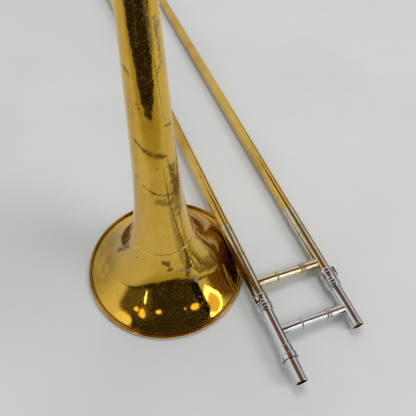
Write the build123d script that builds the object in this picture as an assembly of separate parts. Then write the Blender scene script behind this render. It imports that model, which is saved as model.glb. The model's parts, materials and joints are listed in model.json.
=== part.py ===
from build123d import *
from math import atan2, cos, degrees, exp, hypot, radians, sin, sqrt
import os

# Tenor trombone taken apart: the bell section stands on its bell rim and the closed
# handslide lies beside it, one tube passing over the edge of the flare.
#
# Frame: origin at the centre of the bell rim, on the surface it stands on; +Z up along the
# bell; +Y along the handslide, from the hand end to the bow; +X from the bell to the slide.
# Millimetres throughout.

# ---------------------------------------------------------------- driving dimensions
# Bell
BELL_RADIUS = 95.25         # outside of the rim bead: a 7 1/2 inch bell
BELL_WALL = 0.6             # sheet thickness
BEAD_RADIUS = 1.8           # outside of the rolled rim
BEAD_FLAT = 0.15            # how far the bead's face is worn flat where it stands
WIRE_CLEARANCE = 0.02       # between the rim wire and the sheet rolled round it
SEAM_Z = 80.0               # where the flare is brazed to the stem
SEAM_HEIGHT = 2.4           # the braze line stands proud over this height
SEAM_PROUD = 0.3
TAIL_Z = 510.0              # small end of the bell stem
TAIL_RADIUS = 9.3
BELL_TAPER = 0.0365         # radius lost per millimetre of stem
FLARE_SPREAD = 58.0         # radius the flare adds at the rim, dying away over FLARE_REACH
FLARE_REACH = 45.0
LIP_REACH = 7.0             # the last steep curl of the flare dies away over this height

# Neckpipe and its receiver
NECK_DISTANCE = 108.0       # bell axis to neckpipe axis, so that the slide passes the rim
NECK_TURN = 77.4            # direction of the neckpipe from the bell, degrees from +X
RECEIVER_Z = 255.0          # mouth of the receiver
RECEIVER_LENGTH = 30.0
RECEIVER_THREAD_LENGTH = 9.0
RECEIVER_THREAD_WALL = 1.3
RECEIVER_COLLAR_WALL = 2.6
RECEIVER_CHAMFER = 0.8
RECEIVER_LIP_WALL = 0.7     # round the neckpipe, at the top
NECK_SMALL_RADIUS = 7.9     # outside, at the receiver
NECK_LARGE_RADIUS = 9.0     # outside, at the tuning slide
NECK_WALL = 0.6
NECK_SOCKET_DEPTH = 4.0     # neckpipe let into the receiver

# Tuning slide
LEG_RADIUS = 8.55           # outside of the sliding legs
LEG_WALL = 0.4
RUNNING_CLEARANCE = 0.05    # radial, every sliding or turning fit
TUNING_SLEEVE_WALL = 0.55
TUNING_SLEEVE_LENGTH = 65.0
SLEEVE_COLLAR_LENGTH = 5.0
SLEEVE_COLLAR_WALL = 1.2
LEG_TAIL_GAP = 5.0          # leg's end to the bottom of its sleeve, closed
TUNING_STOP_GAP = 0.3       # collar to collar, closed
TUNING_FERRULE_LENGTH = 12.0
TUNING_FERRULE_WALL = 1.1
CROOK_LEG_LENGTH = 13.0     # straight part of the crook above each ferrule
CROOK_WALL = 0.5
TUNING_BRACE_RADIUS = 2.6
TUNING_FOOT_RADIUS = 5.0
FERRULE_LENGTH = 22.0       # ferrules on the bell's tail and the neckpipe's top
FERRULE_WALL = 0.9
SOLDER_CLEARANCE = 0.02     # radial, inside a ferrule soldered on a taper

# Braces of the bell section
MAIN_BRACE_RISE = 45.0      # main brace above the receiver's mouth
UPPER_BRACE_DROP = 44.0     # upper brace below the small end of the stem
BRACE_RADII = {"main": 5.0, "upper": 4.0}
FLANGE_RADII = {"main": 11.0, "upper": 8.4}
FLANGE_WALL = 1.1
BRACE_WALL = 0.8
BRACE_RING_PROUD = 0.9
BRACE_RING_LENGTH = 2.4

# Handslide, seen along its own two axes; "lower" is the bell-side tube, "upper" the
# mouthpiece-side tube
SLIDE_INSIDE_RIM = 10.25    # lower tube axis inside the edge of the bell rim
TUBE_SPACING = 90.0
OUTER_RADIUS = 7.2          # outside of the outer tubes
OUTER_WALL = 0.3
INNER_GAP = 0.18            # inner tube to outer tube, radial, away from the stocking
INNER_WALL = 0.3
STOCKING_LENGTH = 120.0
GRIP_WALL = 0.7             # nickel sleeve over the hand end of each outer tube
MOUTH_Y = -86.0             # mouth of the cork barrels
GRIP_LENGTH = 103.0         # barrel mouth to where the nickel grip gives way to bare brass
OUTER_INSERT = 7.0          # outer slide's end inside the cork barrel, closed
BARREL_LENGTH = 21.0
BARREL_CLEARANCE = 0.4      # grip sleeve to barrel wall
BARREL_WALL = 0.6           # at the mouth
BARREL_SWELL = 0.8          # widest rib beyond the mouth
BARREL_END_WALL = 2.0
CORK_GAP = 0.3              # between a cork and what it stops or what slides by it
SLEEVE_TUBE_WALL = 0.63     # chromed tubes behind the barrels
INNER_TUBE_TAIL = 18.0      # inner tube soldered this far into them
LOWER_SLEEVE_LENGTH = 43.0
UPPER_SLEEVE_LENGTH = 50.0
UPPER_RIM_PROUD = 0.35
UPPER_RIM_LENGTH = 2.0
TENON_STEP = 0.02           # tenon slimmer than the chromed tube it ends
TENON_WALL = 0.9
TENON_LENGTH = 41.0
TENON_EXPOSED = 26.0
TENON_GROOVE = 0.25         # groove between the exposed tenon and the lock ring's seat
TENON_GROOVE_LENGTH = 0.8
LOCK_RING_WALL = 1.02
LOCK_SKIRT_WALL = 0.75
LOCK_SKIRT_LENGTH = 6.5
LOCK_WING_REACH = 1.12      # wings beyond the skirt
LOCK_WING_WIDTH = 3.0
MOUTHPIECE_BORE = 6.1       # radius of the mouthpiece socket
MOUTHPIECE_DEPTH = 30.0
LEADPIPE_BORE = 5.8
LEADPIPE_REACH = 165.0      # leadpipe beyond the mouthpiece socket

# Cross braces of the handslide
HAND_BRACE_SET = 16.5       # centre line of the hand brace from the barrel mouths
HAND_BRACE_RADIUS = 6.4
INNER_BRACE_SET = 25.7      # centre line of the inner brace from the backs of the barrels
INNER_BRACE_RADIUS = 5.8
BRACE_TUBE_START = 31.0     # centre tube of a brace begins this far from the lower axis
BRACE_TUBE_STOP = 28.0      # and ends this far from the upper axis
BRACE_TUBE_STEP = 0.5       # centre tube is this much slimmer than the ferrules
CROSS_RING_PROUD = 0.6
CROSS_RING_LENGTH = 1.8

# Slide bow
BOW_CENTRE_Y = 608.0
INNER_TUBE_SHORT = 12.0     # inner tubes stop this far short of the half ring, closed
BOW_STEP = 0.4              # bow's tube larger than the outer tubes, in radius
BOW_WALL = 0.4
BOW_LEG = 14.0              # straight leg from the end of each outer tube to the half ring
BOW_FERRULE_WALL = 0.6
BOW_FERRULE_HALF = 9.0      # ferrule to each side of the joint, less on the bow side
BOW_FERRULE_SHORT = 6.0
GUARD_WALL = 0.8
GUARD_START = 22.0          # guard plate covers the bow beyond this distance
TIP_HOLDER_RADIUS = 4.6
TIP_HOLDER_LENGTH = 3.0
TIP_RADIUS = 6.4
TIP_LENGTH = 8.0

# Water key, on top of the lower leg of the bow
NIPPLE_SET = 3.4            # nipple before the start of the half ring
NIPPLE_RADIUS = 2.7
NIPPLE_BORE = 1.4
NIPPLE_HEIGHT = 2.4         # above the bow's tube
KEY_PIVOT_SET = 4.0         # hinge before the end of the outer tube
KEY_PIVOT_RISE = 2.4        # hinge above the top of the nipple
KEY_PIN_RADIUS = 1.0
KEY_HINGE_RADIUS = 2.0
KEY_HINGE_HALF = 3.2
KEY_EAR_GAP = 0.2
KEY_EAR_WALL = 1.2
KEY_EAR_LENGTH = 8.0
KEY_BAR_HALF = 1.6
KEY_BAR_THICK = 1.6
KEY_TOUCH_REACH = 23.0      # hinge to the middle of the touch plate
KEY_TOUCH_RADIUS = 4.4
PAD_RADIUS = 3.3
PAD_GAP = 0.1
PAD_THICK = 1.5
SPRING_WIRE = 0.35
SPRING_TURNS = 2

# Slide lock, on the upper tube
LOCK_BAND_LENGTH = 4.6
LOCK_BAND_WALL = 0.8
LOCK_BAND_GAP = 0.5         # band to barrel mouth
HOOK_CLEARANCE = 0.4        # hook above the barrel
HOOK_THICK = 1.4
HOOK_ARM_ANGLE = 14.0
HOOK_FINGER_ANGLE = 30.0
HOOK_FINGER_LENGTH = 1.8
STUD_RADIUS = 0.9
STUD_Y_BACK = 4.4           # stud to barrel mouth
STUD_ANGLE = 62.0           # round the upper tube, from +X towards up
HOOK_TURN_TO_STUD = 40.0

SEAT_CLEARANCE = 0.3        # grip sleeve above the flare it lies on

# ---------------------------------------------------------------- sizes that follow
bead_centre_r = BELL_RADIUS - BEAD_RADIUS
bead_centre_z = BEAD_RADIUS - BEAD_FLAT
wire_radius = BEAD_RADIUS - BELL_WALL - WIRE_CLEARANCE
slide_offset = BELL_RADIUS - SLIDE_INSIDE_RIM
lip_spread = bead_centre_r - (TAIL_RADIUS + BELL_TAPER * TAIL_Z) - FLARE_SPREAD

tuning_sleeve_bore = LEG_RADIUS + RUNNING_CLEARANCE
tuning_sleeve_radius = tuning_sleeve_bore + TUNING_SLEEVE_WALL
tuning_sleeve_top = TAIL_Z + TUNING_SLEEVE_LENGTH
tuning_ferrule_z = tuning_sleeve_top + TUNING_STOP_GAP
crook_leg_z = tuning_ferrule_z + TUNING_FERRULE_LENGTH
crook_centre_z = crook_leg_z + CROOK_LEG_LENGTH

outer_bore = OUTER_RADIUS - OUTER_WALL
stocking_radius = outer_bore - RUNNING_CLEARANCE
inner_radius = outer_bore - INNER_GAP
inner_bore = inner_radius - INNER_WALL
sleeve_tube_radius = inner_radius + SLEEVE_TUBE_WALL
tenon_radius = sleeve_tube_radius - TENON_STEP
receiver_bore = tenon_radius + RUNNING_CLEARANCE
receiver_thread_radius = receiver_bore + RECEIVER_THREAD_WALL
receiver_top = RECEIVER_Z + RECEIVER_LENGTH
brace_heights = {"main": RECEIVER_Z + MAIN_BRACE_RISE, "upper": TAIL_Z - UPPER_BRACE_DROP}

grip_radius = OUTER_RADIUS + GRIP_WALL
outer_start = MOUTH_Y - OUTER_INSERT
barrel_bore = grip_radius + BARREL_CLEARANCE
barrel_mouth_radius = barrel_bore + BARREL_WALL
barrel_widest = barrel_mouth_radius + BARREL_SWELL
grip_end = MOUTH_Y + GRIP_LENGTH
barrel_back = MOUTH_Y - BARREL_LENGTH
lower_sleeve_back = barrel_back - LOWER_SLEEVE_LENGTH
upper_sleeve_back = barrel_back - UPPER_SLEEVE_LENGTH
tenon_end = lower_sleeve_back - TENON_LENGTH
lock_ring_front = tenon_end + TENON_EXPOSED
inner_tube_back = barrel_back - INNER_TUBE_TAIL
inner_tube_end = BOW_CENTRE_Y - INNER_TUBE_SHORT
hand_brace_y = MOUTH_Y + HAND_BRACE_SET
inner_brace_y = barrel_back - INNER_BRACE_SET
brace_tube_end = TUBE_SPACING - BRACE_TUBE_STOP

bow_start = BOW_CENTRE_Y - BOW_LEG
bow_radius = OUTER_RADIUS + BOW_STEP
bow_outer = bow_radius + GUARD_WALL
bow_ferrule_radius = bow_radius + BOW_FERRULE_WALL
nipple_y = BOW_CENTRE_Y - NIPPLE_SET
nipple_top = bow_radius + NIPPLE_HEIGHT
key_pivot_y = bow_start - KEY_PIVOT_SET
key_pivot_z = nipple_top + KEY_PIVOT_RISE
key_touch_y = key_pivot_y - KEY_TOUCH_REACH
key_bar_low = nipple_top + PAD_GAP + PAD_THICK
key_ear_inside = KEY_HINGE_HALF + KEY_EAR_GAP
key_ear_outside = key_ear_inside + KEY_EAR_WALL
lock_band_y = MOUTH_Y + LOCK_BAND_GAP
lock_band_bore = grip_radius + RUNNING_CLEARANCE
lock_band_radius = lock_band_bore + LOCK_BAND_WALL
hook_inside = barrel_widest + HOOK_CLEARANCE
hook_outside = hook_inside + HOOK_THICK
stud_y = MOUTH_Y - STUD_Y_BACK


def bell_radius(z):
    """Outside radius of the bell at height z: a straight taper, a flare and a lip."""
    rise = max(z - BELL_WALL, 0.0)
    return (
        TAIL_RADIUS + BELL_TAPER * (TAIL_Z - rise)
        + FLARE_SPREAD * exp(-rise / FLARE_REACH) + lip_spread * exp(-rise / LIP_REACH)
    )


def bell_slope(z):
    """Change of bell_radius per millimetre of height."""
    rise = max(z - BELL_WALL, 0.0)
    return (
        -BELL_TAPER - FLARE_SPREAD / FLARE_REACH * exp(-rise / FLARE_REACH)
        - lip_spread / LIP_REACH * exp(-rise / LIP_REACH)
    )


def seat_height():
    """Height of the lower tube's axis where its grip sleeve lies on the flare."""
    heights = [BELL_WALL + step * 0.05 for step in range(600)]
    near = [z for z in heights if abs(bell_radius(z) - slide_offset) < grip_radius]
    touch = max(z + sqrt(grip_radius ** 2 - (bell_radius(z) - slide_offset) ** 2) for z in near)
    return touch + SEAT_CLEARANCE


# The handslide rests on three points: its lower grip on the flare, the upper cork barrel
# and the crown of the bow on the floor. Heights of the axes give its two small tilts.
slide_height = seat_height()
barrel_y = barrel_back + BARREL_END_WALL + 4.0
crown_y = BOW_CENTRE_Y + TUBE_SPACING / 2
barrel_drop = barrel_widest - slide_height
crown_drop = bow_outer - slide_height
slope_y = (crown_drop - barrel_drop / 2) / (crown_y - barrel_y / 2)
slope_x = (barrel_drop - slope_y * barrel_y) / TUBE_SPACING
slide_pitch = degrees(atan2(slope_y, 1.0))
slide_roll = -degrees(atan2(slope_x, 1.0))
SLIDE_POSE = Location((slide_offset, 0, slide_height), (slide_pitch, slide_roll, 0))
NECK_POSE = Location(
    (NECK_DISTANCE * cos(radians(NECK_TURN)), NECK_DISTANCE * sin(radians(NECK_TURN)), 0),
    (0, 0, NECK_TURN),
)

parts = {}


# ---------------------------------------------------------------- shapes used throughout
def turned(points):
    """Solid of revolution about Z from (radius, height) corners."""
    corners = [(radius, 0, height) for radius, height in points]
    return revolve(make_face(Polyline(*corners, close=True)), Axis.Z)


def pipe(outside, inside, low, high):
    """Straight tube about Z between two heights."""
    return turned([(inside, low), (outside, low), (outside, high), (inside, high)])


def rod(radius, low, high):
    """Solid cylinder about Z between two heights."""
    return Pos(0, 0, (low + high) / 2) * Cylinder(radius, high - low)


def along_y(shape):
    """Turn a shape built along Z so that it runs along +Y."""
    return Rot(-90, 0, 0) * shape


def along_x(shape):
    """Turn a shape built along Z so that it runs along +X."""
    return Rot(0, 90, 0) * shape


def lower(shape):
    """Put a shape built along Z on the handslide's lower tube axis."""
    return SLIDE_POSE * along_y(shape)


def upper(shape):
    """Put a shape built along Z on the handslide's upper tube axis."""
    return SLIDE_POSE * (Pos(TUBE_SPACING, 0, 0) * along_y(shape))


def bell_solid(low, high, proud):
    """Solid body of the bell between two heights, standing proud of its outside."""
    steps = 16
    heights = [low + (high - low) * step / steps for step in range(steps + 1)]
    curve = [(bell_radius(z) + proud, 0, z) for z in heights]
    outline = Polyline(curve[-1], (0, 0, high), (0, 0, low), curve[0])
    return revolve(make_face(Spline(*curve) + outline), Axis.Z)


def neck_radius(z):
    """Outside radius of the neckpipe at height z."""
    share = (z - RECEIVER_Z) / (TAIL_Z - RECEIVER_Z)
    return NECK_SMALL_RADIUS + (NECK_LARGE_RADIUS - NECK_SMALL_RADIUS) * share


def neck_solid(low, high, proud):
    """Solid body of the neckpipe about Z, standing proud of its outside."""
    return turned([
        (0, low), (neck_radius(low) + proud, low), (neck_radius(high) + proud, high), (0, high),
    ])


def half_bow(outside, inside, radius):
    """Half ring of tube in the XY plane, bulging to +Y between two parallel legs."""
    section = Plane.XZ * (Pos(radius, 0) * Circle(outside))
    if inside:
        section -= Plane.XZ * (Pos(radius, 0) * Circle(inside))
    return revolve(section, Axis.Z, 180)


# ---------------------------------------------------------------- bell
def bell_sheet(heights):
    """Sheet of the bell through the given heights, offset inwards by the wall."""
    outside = [(bell_radius(z), 0, z) for z in heights]
    inside = []
    for z in heights:
        length = hypot(1.0, bell_slope(z))
        inside.append((
            bell_radius(z) - BELL_WALL / length, 0, z + BELL_WALL * bell_slope(z) / length,
        ))
    return outside, inside


def make_flare():
    """Flare with its rim rolled over the rim wire."""
    rises = [0.0, 1.2, 3.0, 6.0, 11.0, 19.0, 31.0, 46.0, 62.0]
    heights = [BELL_WALL + rise for rise in rises] + [SEAM_Z]
    outside, inside = bell_sheet(heights)
    foot = (inside[0][0], 0, 0)
    inside[0] = foot
    inside[-1] = (bell_radius(SEAM_Z) - BELL_WALL, 0, SEAM_Z)
    edge = Spline(*outside) + Polyline(outside[-1], inside[-1])
    edge += Spline(*reversed(inside)) + Line(foot, outside[0])
    wire_room = Pos(0, 0, bead_centre_z) * Torus(bead_centre_r, BEAD_RADIUS - BELL_WALL)
    bead = Pos(0, 0, bead_centre_z) * Torus(bead_centre_r, BEAD_RADIUS)
    below = Pos(0, 0, -BEAD_RADIUS) * Cylinder(2 * BELL_RADIUS, 2 * BEAD_RADIUS)
    return revolve(make_face(edge), Axis.Z) + (bead - below) - wire_room


def make_stem():
    """Long taper of the bell, with the braze line at its lower edge."""
    count = 14
    heights = [SEAM_Z + (TAIL_Z - SEAM_Z) * (step / count) ** 1.5 for step in range(count + 1)]
    outside = [(bell_radius(z), 0, z) for z in heights]
    inside = [(bell_radius(z) - BELL_WALL, 0, z) for z in heights]
    edge = Spline(*outside) + Line(outside[-1], inside[-1])
    edge += Spline(*reversed(inside)) + Line(inside[0], outside[0])
    low = bell_radius(SEAM_Z)
    high = bell_radius(SEAM_Z + SEAM_HEIGHT)
    ridge = turned([
        (low - BELL_WALL / 2, SEAM_Z), (low + SEAM_PROUD, SEAM_Z),
        (high + SEAM_PROUD, SEAM_Z + SEAM_HEIGHT * 0.7), (high - BELL_WALL / 2, SEAM_Z + SEAM_HEIGHT),
    ])
    return revolve(make_face(edge), Axis.Z) + ridge


parts["bell_flare"] = make_flare()
parts["rim_wire"] = Pos(0, 0, bead_centre_z) * Torus(bead_centre_r, wire_radius)
parts["bell_stem"] = make_stem()


# ---------------------------------------------------------------- neckpipe and sleeves
def tuning_sleeve():
    """Outer sleeve of the tuning slide with a collar at its mouth."""
    collar = tuning_sleeve_radius + SLEEVE_COLLAR_WALL
    collar_z = tuning_sleeve_top - SLEEVE_COLLAR_LENGTH
    return turned([
        (tuning_sleeve_bore, TAIL_Z), (tuning_sleeve_radius, TAIL_Z),
        (tuning_sleeve_radius, collar_z - SLEEVE_COLLAR_WALL), (collar, collar_z),
        (collar, tuning_sleeve_top), (tuning_sleeve_bore, tuning_sleeve_top),
    ])


def tail_ferrule(low_radius, end_radius):
    """Ferrule over the joint between a tapered tube and its tuning sleeve."""
    low = TAIL_Z - FERRULE_LENGTH / 2
    high = TAIL_Z + FERRULE_LENGTH / 2
    swell = max(low_radius, tuning_sleeve_radius) + FERRULE_WALL
    return turned([
        (low_radius + SOLDER_CLEARANCE, low), (low_radius + FERRULE_WALL / 2, low),
        (swell, low + FERRULE_WALL * 2),
        (swell, high - FERRULE_WALL * 2), (tuning_sleeve_radius + FERRULE_WALL / 2, high),
        (tuning_sleeve_radius, high), (tuning_sleeve_radius, TAIL_Z),
        (end_radius + SOLDER_CLEARANCE, TAIL_Z),
    ])


def make_receiver():
    """Receiver for the handslide's tenon: threaded mouth, collar and neckpipe socket."""
    crest = receiver_thread_radius
    root = crest - 0.45
    pitch = 1.5
    outline = [(receiver_bore, RECEIVER_Z), (root, RECEIVER_Z)]
    turns = int(RECEIVER_THREAD_LENGTH / pitch)
    for turn in range(turns):
        base = RECEIVER_Z + 0.4 + turn * pitch
        outline += [(root, base), (crest, base + 0.45), (crest, base + 0.75), (root, base + 1.2)]
    socket = neck_radius(receiver_top)
    lip = socket + RECEIVER_LIP_WALL
    collar = max(receiver_bore + RECEIVER_COLLAR_WALL, lip + RECEIVER_CHAMFER)
    collar_z = RECEIVER_Z + RECEIVER_THREAD_LENGTH + 1.0
    outline += [
        (root, collar_z), (collar, collar_z), (collar, collar_z + 8.0),
        (collar - RECEIVER_CHAMFER, collar_z + 9.0), (lip, receiver_top), (socket, receiver_top),
        (neck_radius(receiver_top - NECK_SOCKET_DEPTH), receiver_top - NECK_SOCKET_DEPTH),
        (receiver_bore, receiver_top - NECK_SOCKET_DEPTH),
    ]
    return turned(outline)


def make_neckpipe():
    """Tapered tube from the receiver up to the tuning slide."""
    low = receiver_top - NECK_SOCKET_DEPTH
    return turned([
        (neck_radius(low) - NECK_WALL, low), (neck_radius(low), low),
        (neck_radius(TAIL_Z), TAIL_Z), (neck_radius(TAIL_Z) - NECK_WALL, TAIL_Z),
    ])


parts["bell_tail_ferrule"] = tail_ferrule(
    bell_radius(TAIL_Z - FERRULE_LENGTH / 2), bell_radius(TAIL_Z))
parts["tuning_sleeve_bell"] = tuning_sleeve()
parts["neckpipe"] = NECK_POSE * make_neckpipe()
parts["neck_ferrule"] = NECK_POSE * tail_ferrule(
    neck_radius(TAIL_Z - FERRULE_LENGTH / 2), neck_radius(TAIL_Z))
parts["tuning_sleeve_neck"] = NECK_POSE * tuning_sleeve()
parts["bell_receiver"] = NECK_POSE * make_receiver()


# ---------------------------------------------------------------- braces of the bell section
def bell_section_brace(name):
    """Brace from the bell stem to the neckpipe: a flange soldered on each and a tube."""
    z = brace_heights[name]
    radius = BRACE_RADII[name]
    flange = FLANGE_RADII[name]
    turn = Rot(0, 0, NECK_TURN)
    reach = flange + 4.0
    bell_skin = bell_solid(z - reach, z + reach, 0)
    bell_cover = bell_solid(z - reach, z + reach, FLANGE_WALL)
    neck_place = Pos(NECK_DISTANCE, 0, 0)
    neck_skin = neck_place * neck_solid(z - reach, z + reach, 0)
    neck_cover = neck_place * neck_solid(z - reach, z + reach, FLANGE_WALL)
    ring_gap = BRACE_RING_LENGTH

    def ring_at(x):
        return Pos(x, 0, z) * along_x(rod(radius + BRACE_RING_PROUD, 0, ring_gap))

    half = NECK_DISTANCE / 2
    plate = Pos(0, 0, z) * along_x(rod(flange, 0, half))
    bell_socket = Pos(0, 0, z) * along_x(
        rod(radius + BRACE_RING_PROUD, 0, bell_radius(z) + FLANGE_WALL + 3.0))
    bell_flange = (plate & bell_cover) + bell_socket - bell_skin
    far_plate = Pos(half, 0, z) * along_x(rod(flange * 0.72, 0, half))
    neck_face = NECK_DISTANCE - neck_radius(z) - FLANGE_WALL
    neck_socket = Pos(neck_face - 3.0, 0, z) * along_x(rod(radius + BRACE_RING_PROUD, 0, 6.0))
    neck_flange = (far_plate & neck_cover) + neck_socket - neck_skin
    start = bell_radius(z) + FLANGE_WALL + 3.0
    end = neck_face - 3.0
    tube = Pos(0, 0, z) * along_x(pipe(radius, radius - BRACE_WALL, start, end))
    third = (end - start) / 3
    for x in (start + third, start + 2 * third, start + 2 * third + 2 * ring_gap):
        tube += ring_at(x) - Pos(x, 0, z) * along_x(rod(radius - BRACE_WALL, 0, ring_gap))
    parts[f"{name}_brace_bell_flange"] = turn * bell_flange
    parts[f"{name}_brace_tube"] = turn * tube
    parts[f"{name}_brace_neck_flange"] = turn * neck_flange


for brace_name in brace_heights:
    bell_section_brace(brace_name)


# ---------------------------------------------------------------- tuning slide
def tuning_leg():
    """Sliding leg: from inside the sleeve up to the crook."""
    low = TAIL_Z + LEG_TAIL_GAP
    return pipe(LEG_RADIUS, LEG_RADIUS - LEG_WALL, low, crook_leg_z)


def tuning_ferrule():
    """Collar on the leg that stops on the sleeve."""
    wide = LEG_RADIUS + TUNING_FERRULE_WALL
    low = tuning_ferrule_z
    return turned([
        (LEG_RADIUS, low), (wide, low), (wide, low + 3.0), (wide - 0.5, low + 3.6),
        (wide - 0.5, crook_leg_z - 2.4), (wide, crook_leg_z - 1.8), (wide, crook_leg_z),
        (LEG_RADIUS, crook_leg_z),
    ])


def make_crook():
    """Half-round crook with a short straight leg at each end."""
    leg = pipe(LEG_RADIUS + CROOK_WALL, LEG_RADIUS, crook_leg_z, crook_centre_z)
    bend = Rot(90, 0, 0) * half_bow(LEG_RADIUS + CROOK_WALL, LEG_RADIUS, NECK_DISTANCE / 2)
    bend = Pos(NECK_DISTANCE / 2, 0, crook_centre_z) * bend
    return Rot(0, 0, NECK_TURN) * (leg + Pos(NECK_DISTANCE, 0, 0) * leg + bend)


def make_tuning_brace():
    """Rod and two feet between the crook's legs."""
    z = (crook_leg_z + crook_centre_z) / 2
    tube_face = LEG_RADIUS + CROOK_WALL
    cover = tube_face + FLANGE_WALL
    reach = TUNING_FOOT_RADIUS
    feet = []
    for x in (0, NECK_DISTANCE):
        start = 0 if x == 0 else -cover - 2.0
        foot_bar = Pos(start, 0, z) * along_x(rod(TUNING_FOOT_RADIUS, 0, cover + 2.0))
        collar = Pos(start, 0, z) * along_x(rod(TUNING_BRACE_RADIUS + 1.0, 0, cover + 2.0))
        shell = rod(cover, z - reach, z + reach)
        foot = (foot_bar & shell) + collar - rod(tube_face, z - 2 * reach, z + 2 * reach)
        feet.append(Pos(x, 0, 0) * foot)
    bar_start = cover + 2.0
    bar_end = NECK_DISTANCE - cover - 2.0
    bar = Pos(0, 0, z) * along_x(rod(TUNING_BRACE_RADIUS, bar_start, bar_end))
    middle = (bar_start + bar_end) / 2
    bar += Pos(middle, 0, z) * Sphere(TUNING_BRACE_RADIUS * 1.6)
    turn = Rot(0, 0, NECK_TURN)
    return turn * bar, turn * Compound(children=feet)


parts["tuning_leg_bell"] = tuning_leg()
parts["tuning_leg_neck"] = NECK_POSE * tuning_leg()
parts["tuning_ferrule_bell"] = tuning_ferrule()
parts["tuning_ferrule_neck"] = NECK_POSE * tuning_ferrule()
parts["tuning_crook"] = make_crook()
parts["tuning_brace_rod"], parts["tuning_brace_feet"] = make_tuning_brace()


# ---------------------------------------------------------------- inner slide
def inner_tube():
    """Inner slide tube with its wider stocking at the bow end."""
    stocking_start = inner_tube_end - STOCKING_LENGTH
    return turned([
        (inner_bore, inner_tube_back), (inner_radius, inner_tube_back),
        (inner_radius, stocking_start - 2.0), (stocking_radius, stocking_start),
        (stocking_radius, inner_tube_end), (inner_bore, inner_tube_end),
    ])


def cork_barrel():
    """Ribbed cup that holds the cork and takes the end of the outer slide."""
    back = barrel_back
    end = back + BARREL_END_WALL
    tip = sleeve_tube_radius + 0.8
    outside = [
        (barrel_mouth_radius, MOUTH_Y), (barrel_mouth_radius + 0.3, MOUTH_Y - 1.0),
        (barrel_mouth_radius + 0.1, MOUTH_Y - 2.0), (barrel_mouth_radius + 0.2, MOUTH_Y - 6.0),
        (barrel_widest - 0.4, end + 8.2), (barrel_widest - 0.1, end + 7.0),
        (barrel_widest - 0.9, end + 6.6), (barrel_widest - 0.9, end + 5.9),
        (barrel_widest, end + 5.4), (barrel_widest, end + 3.2), (barrel_widest - 0.5, end + 2.8),
        (barrel_widest - 1.1, end + 2.4), (barrel_widest - 1.1, end + 1.8),
        (barrel_widest - 0.6, end + 1.2), (barrel_widest - 0.7, end + 0.2),
        (tip + 0.3, back + 0.6), (tip, back),
    ]
    inside = [
        (sleeve_tube_radius, back), (sleeve_tube_radius, end), (barrel_bore, end),
        (barrel_bore, MOUTH_Y),
    ]
    return turned(outside + inside)


def cork_bumper():
    """Ring of cork in the bottom of the barrel."""
    low = barrel_back + BARREL_END_WALL
    return pipe(barrel_bore - CORK_GAP / 2, inner_radius + CORK_GAP / 2, low, outer_start - CORK_GAP)


def make_leadpipe():
    """Tapered leadpipe: mouthpiece socket first, then a narrow venturi."""
    socket_end = upper_sleeve_back + MOUTHPIECE_DEPTH
    body = inner_bore
    return turned([
        (MOUTHPIECE_BORE, upper_sleeve_back), (inner_radius, upper_sleeve_back),
        (inner_radius, inner_tube_back), (body, inner_tube_back),
        (body, socket_end + LEADPIPE_REACH), (body - 0.2, socket_end + LEADPIPE_REACH),
        (LEADPIPE_BORE, socket_end + 6.0), (MOUTHPIECE_BORE, socket_end),
    ])


def upper_sleeve():
    """Chromed tube from the upper barrel back to the mouthpiece end, with a small rim."""
    rim = sleeve_tube_radius + UPPER_RIM_PROUD
    rim_end = upper_sleeve_back + UPPER_RIM_LENGTH
    high = barrel_back + BARREL_END_WALL
    return turned([
        (inner_radius, upper_sleeve_back), (rim, upper_sleeve_back), (rim, rim_end),
        (sleeve_tube_radius, rim_end + UPPER_RIM_PROUD), (sleeve_tube_radius, high),
        (inner_radius, high),
    ])


def lower_sleeve():
    """Chromed tube from the lower barrel back to the tenon."""
    high = barrel_back + BARREL_END_WALL
    return pipe(sleeve_tube_radius, inner_radius, lower_sleeve_back, high)


def cross_brace(prefix, y, radius, tube_radius):
    """Brace between the two slide tubes: a ferrule on each and a slimmer centre tube."""
    lower_cut = along_y(rod(tube_radius, y - 2 * radius, y + 2 * radius))
    upper_cut = Pos(TUBE_SPACING, 0, 0) * lower_cut
    ring = radius + CROSS_RING_PROUD

    def ring_at(x):
        return Pos(x, y, 0) * along_x(rod(ring, 0, CROSS_RING_LENGTH))

    low = Pos(0, y, 0) * along_x(rod(radius, 0, BRACE_TUBE_START))
    low += ring_at(BRACE_TUBE_START - CROSS_RING_LENGTH)
    high = Pos(0, y, 0) * along_x(rod(radius, brace_tube_end, TUBE_SPACING))
    high += ring_at(brace_tube_end) + ring_at(brace_tube_end + 2 * CROSS_RING_LENGTH)
    bore = radius - BRACE_TUBE_STEP - BRACE_WALL
    centre = along_x(pipe(radius - BRACE_TUBE_STEP, bore, BRACE_TUBE_START, brace_tube_end))
    parts[f"{prefix}_lower_ferrule"] = SLIDE_POSE * (low - lower_cut)
    parts[f"{prefix}_tube"] = SLIDE_POSE * (Pos(0, y, 0) * centre)
    parts[f"{prefix}_upper_ferrule"] = SLIDE_POSE * (high - upper_cut)


def make_tenon():
    """Tenon that seats in the bell section's receiver."""
    bore = tenon_radius - TENON_WALL
    groove = lock_ring_front
    groove_end = groove + TENON_GROOVE_LENGTH
    return turned([
        (bore, tenon_end), (tenon_radius - 0.3, tenon_end), (tenon_radius, tenon_end + 0.5),
        (tenon_radius, groove), (tenon_radius - TENON_GROOVE, groove),
        (tenon_radius - TENON_GROOVE, groove_end), (tenon_radius, groove_end),
        (tenon_radius, lower_sleeve_back), (bore, lower_sleeve_back),
    ])


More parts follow.
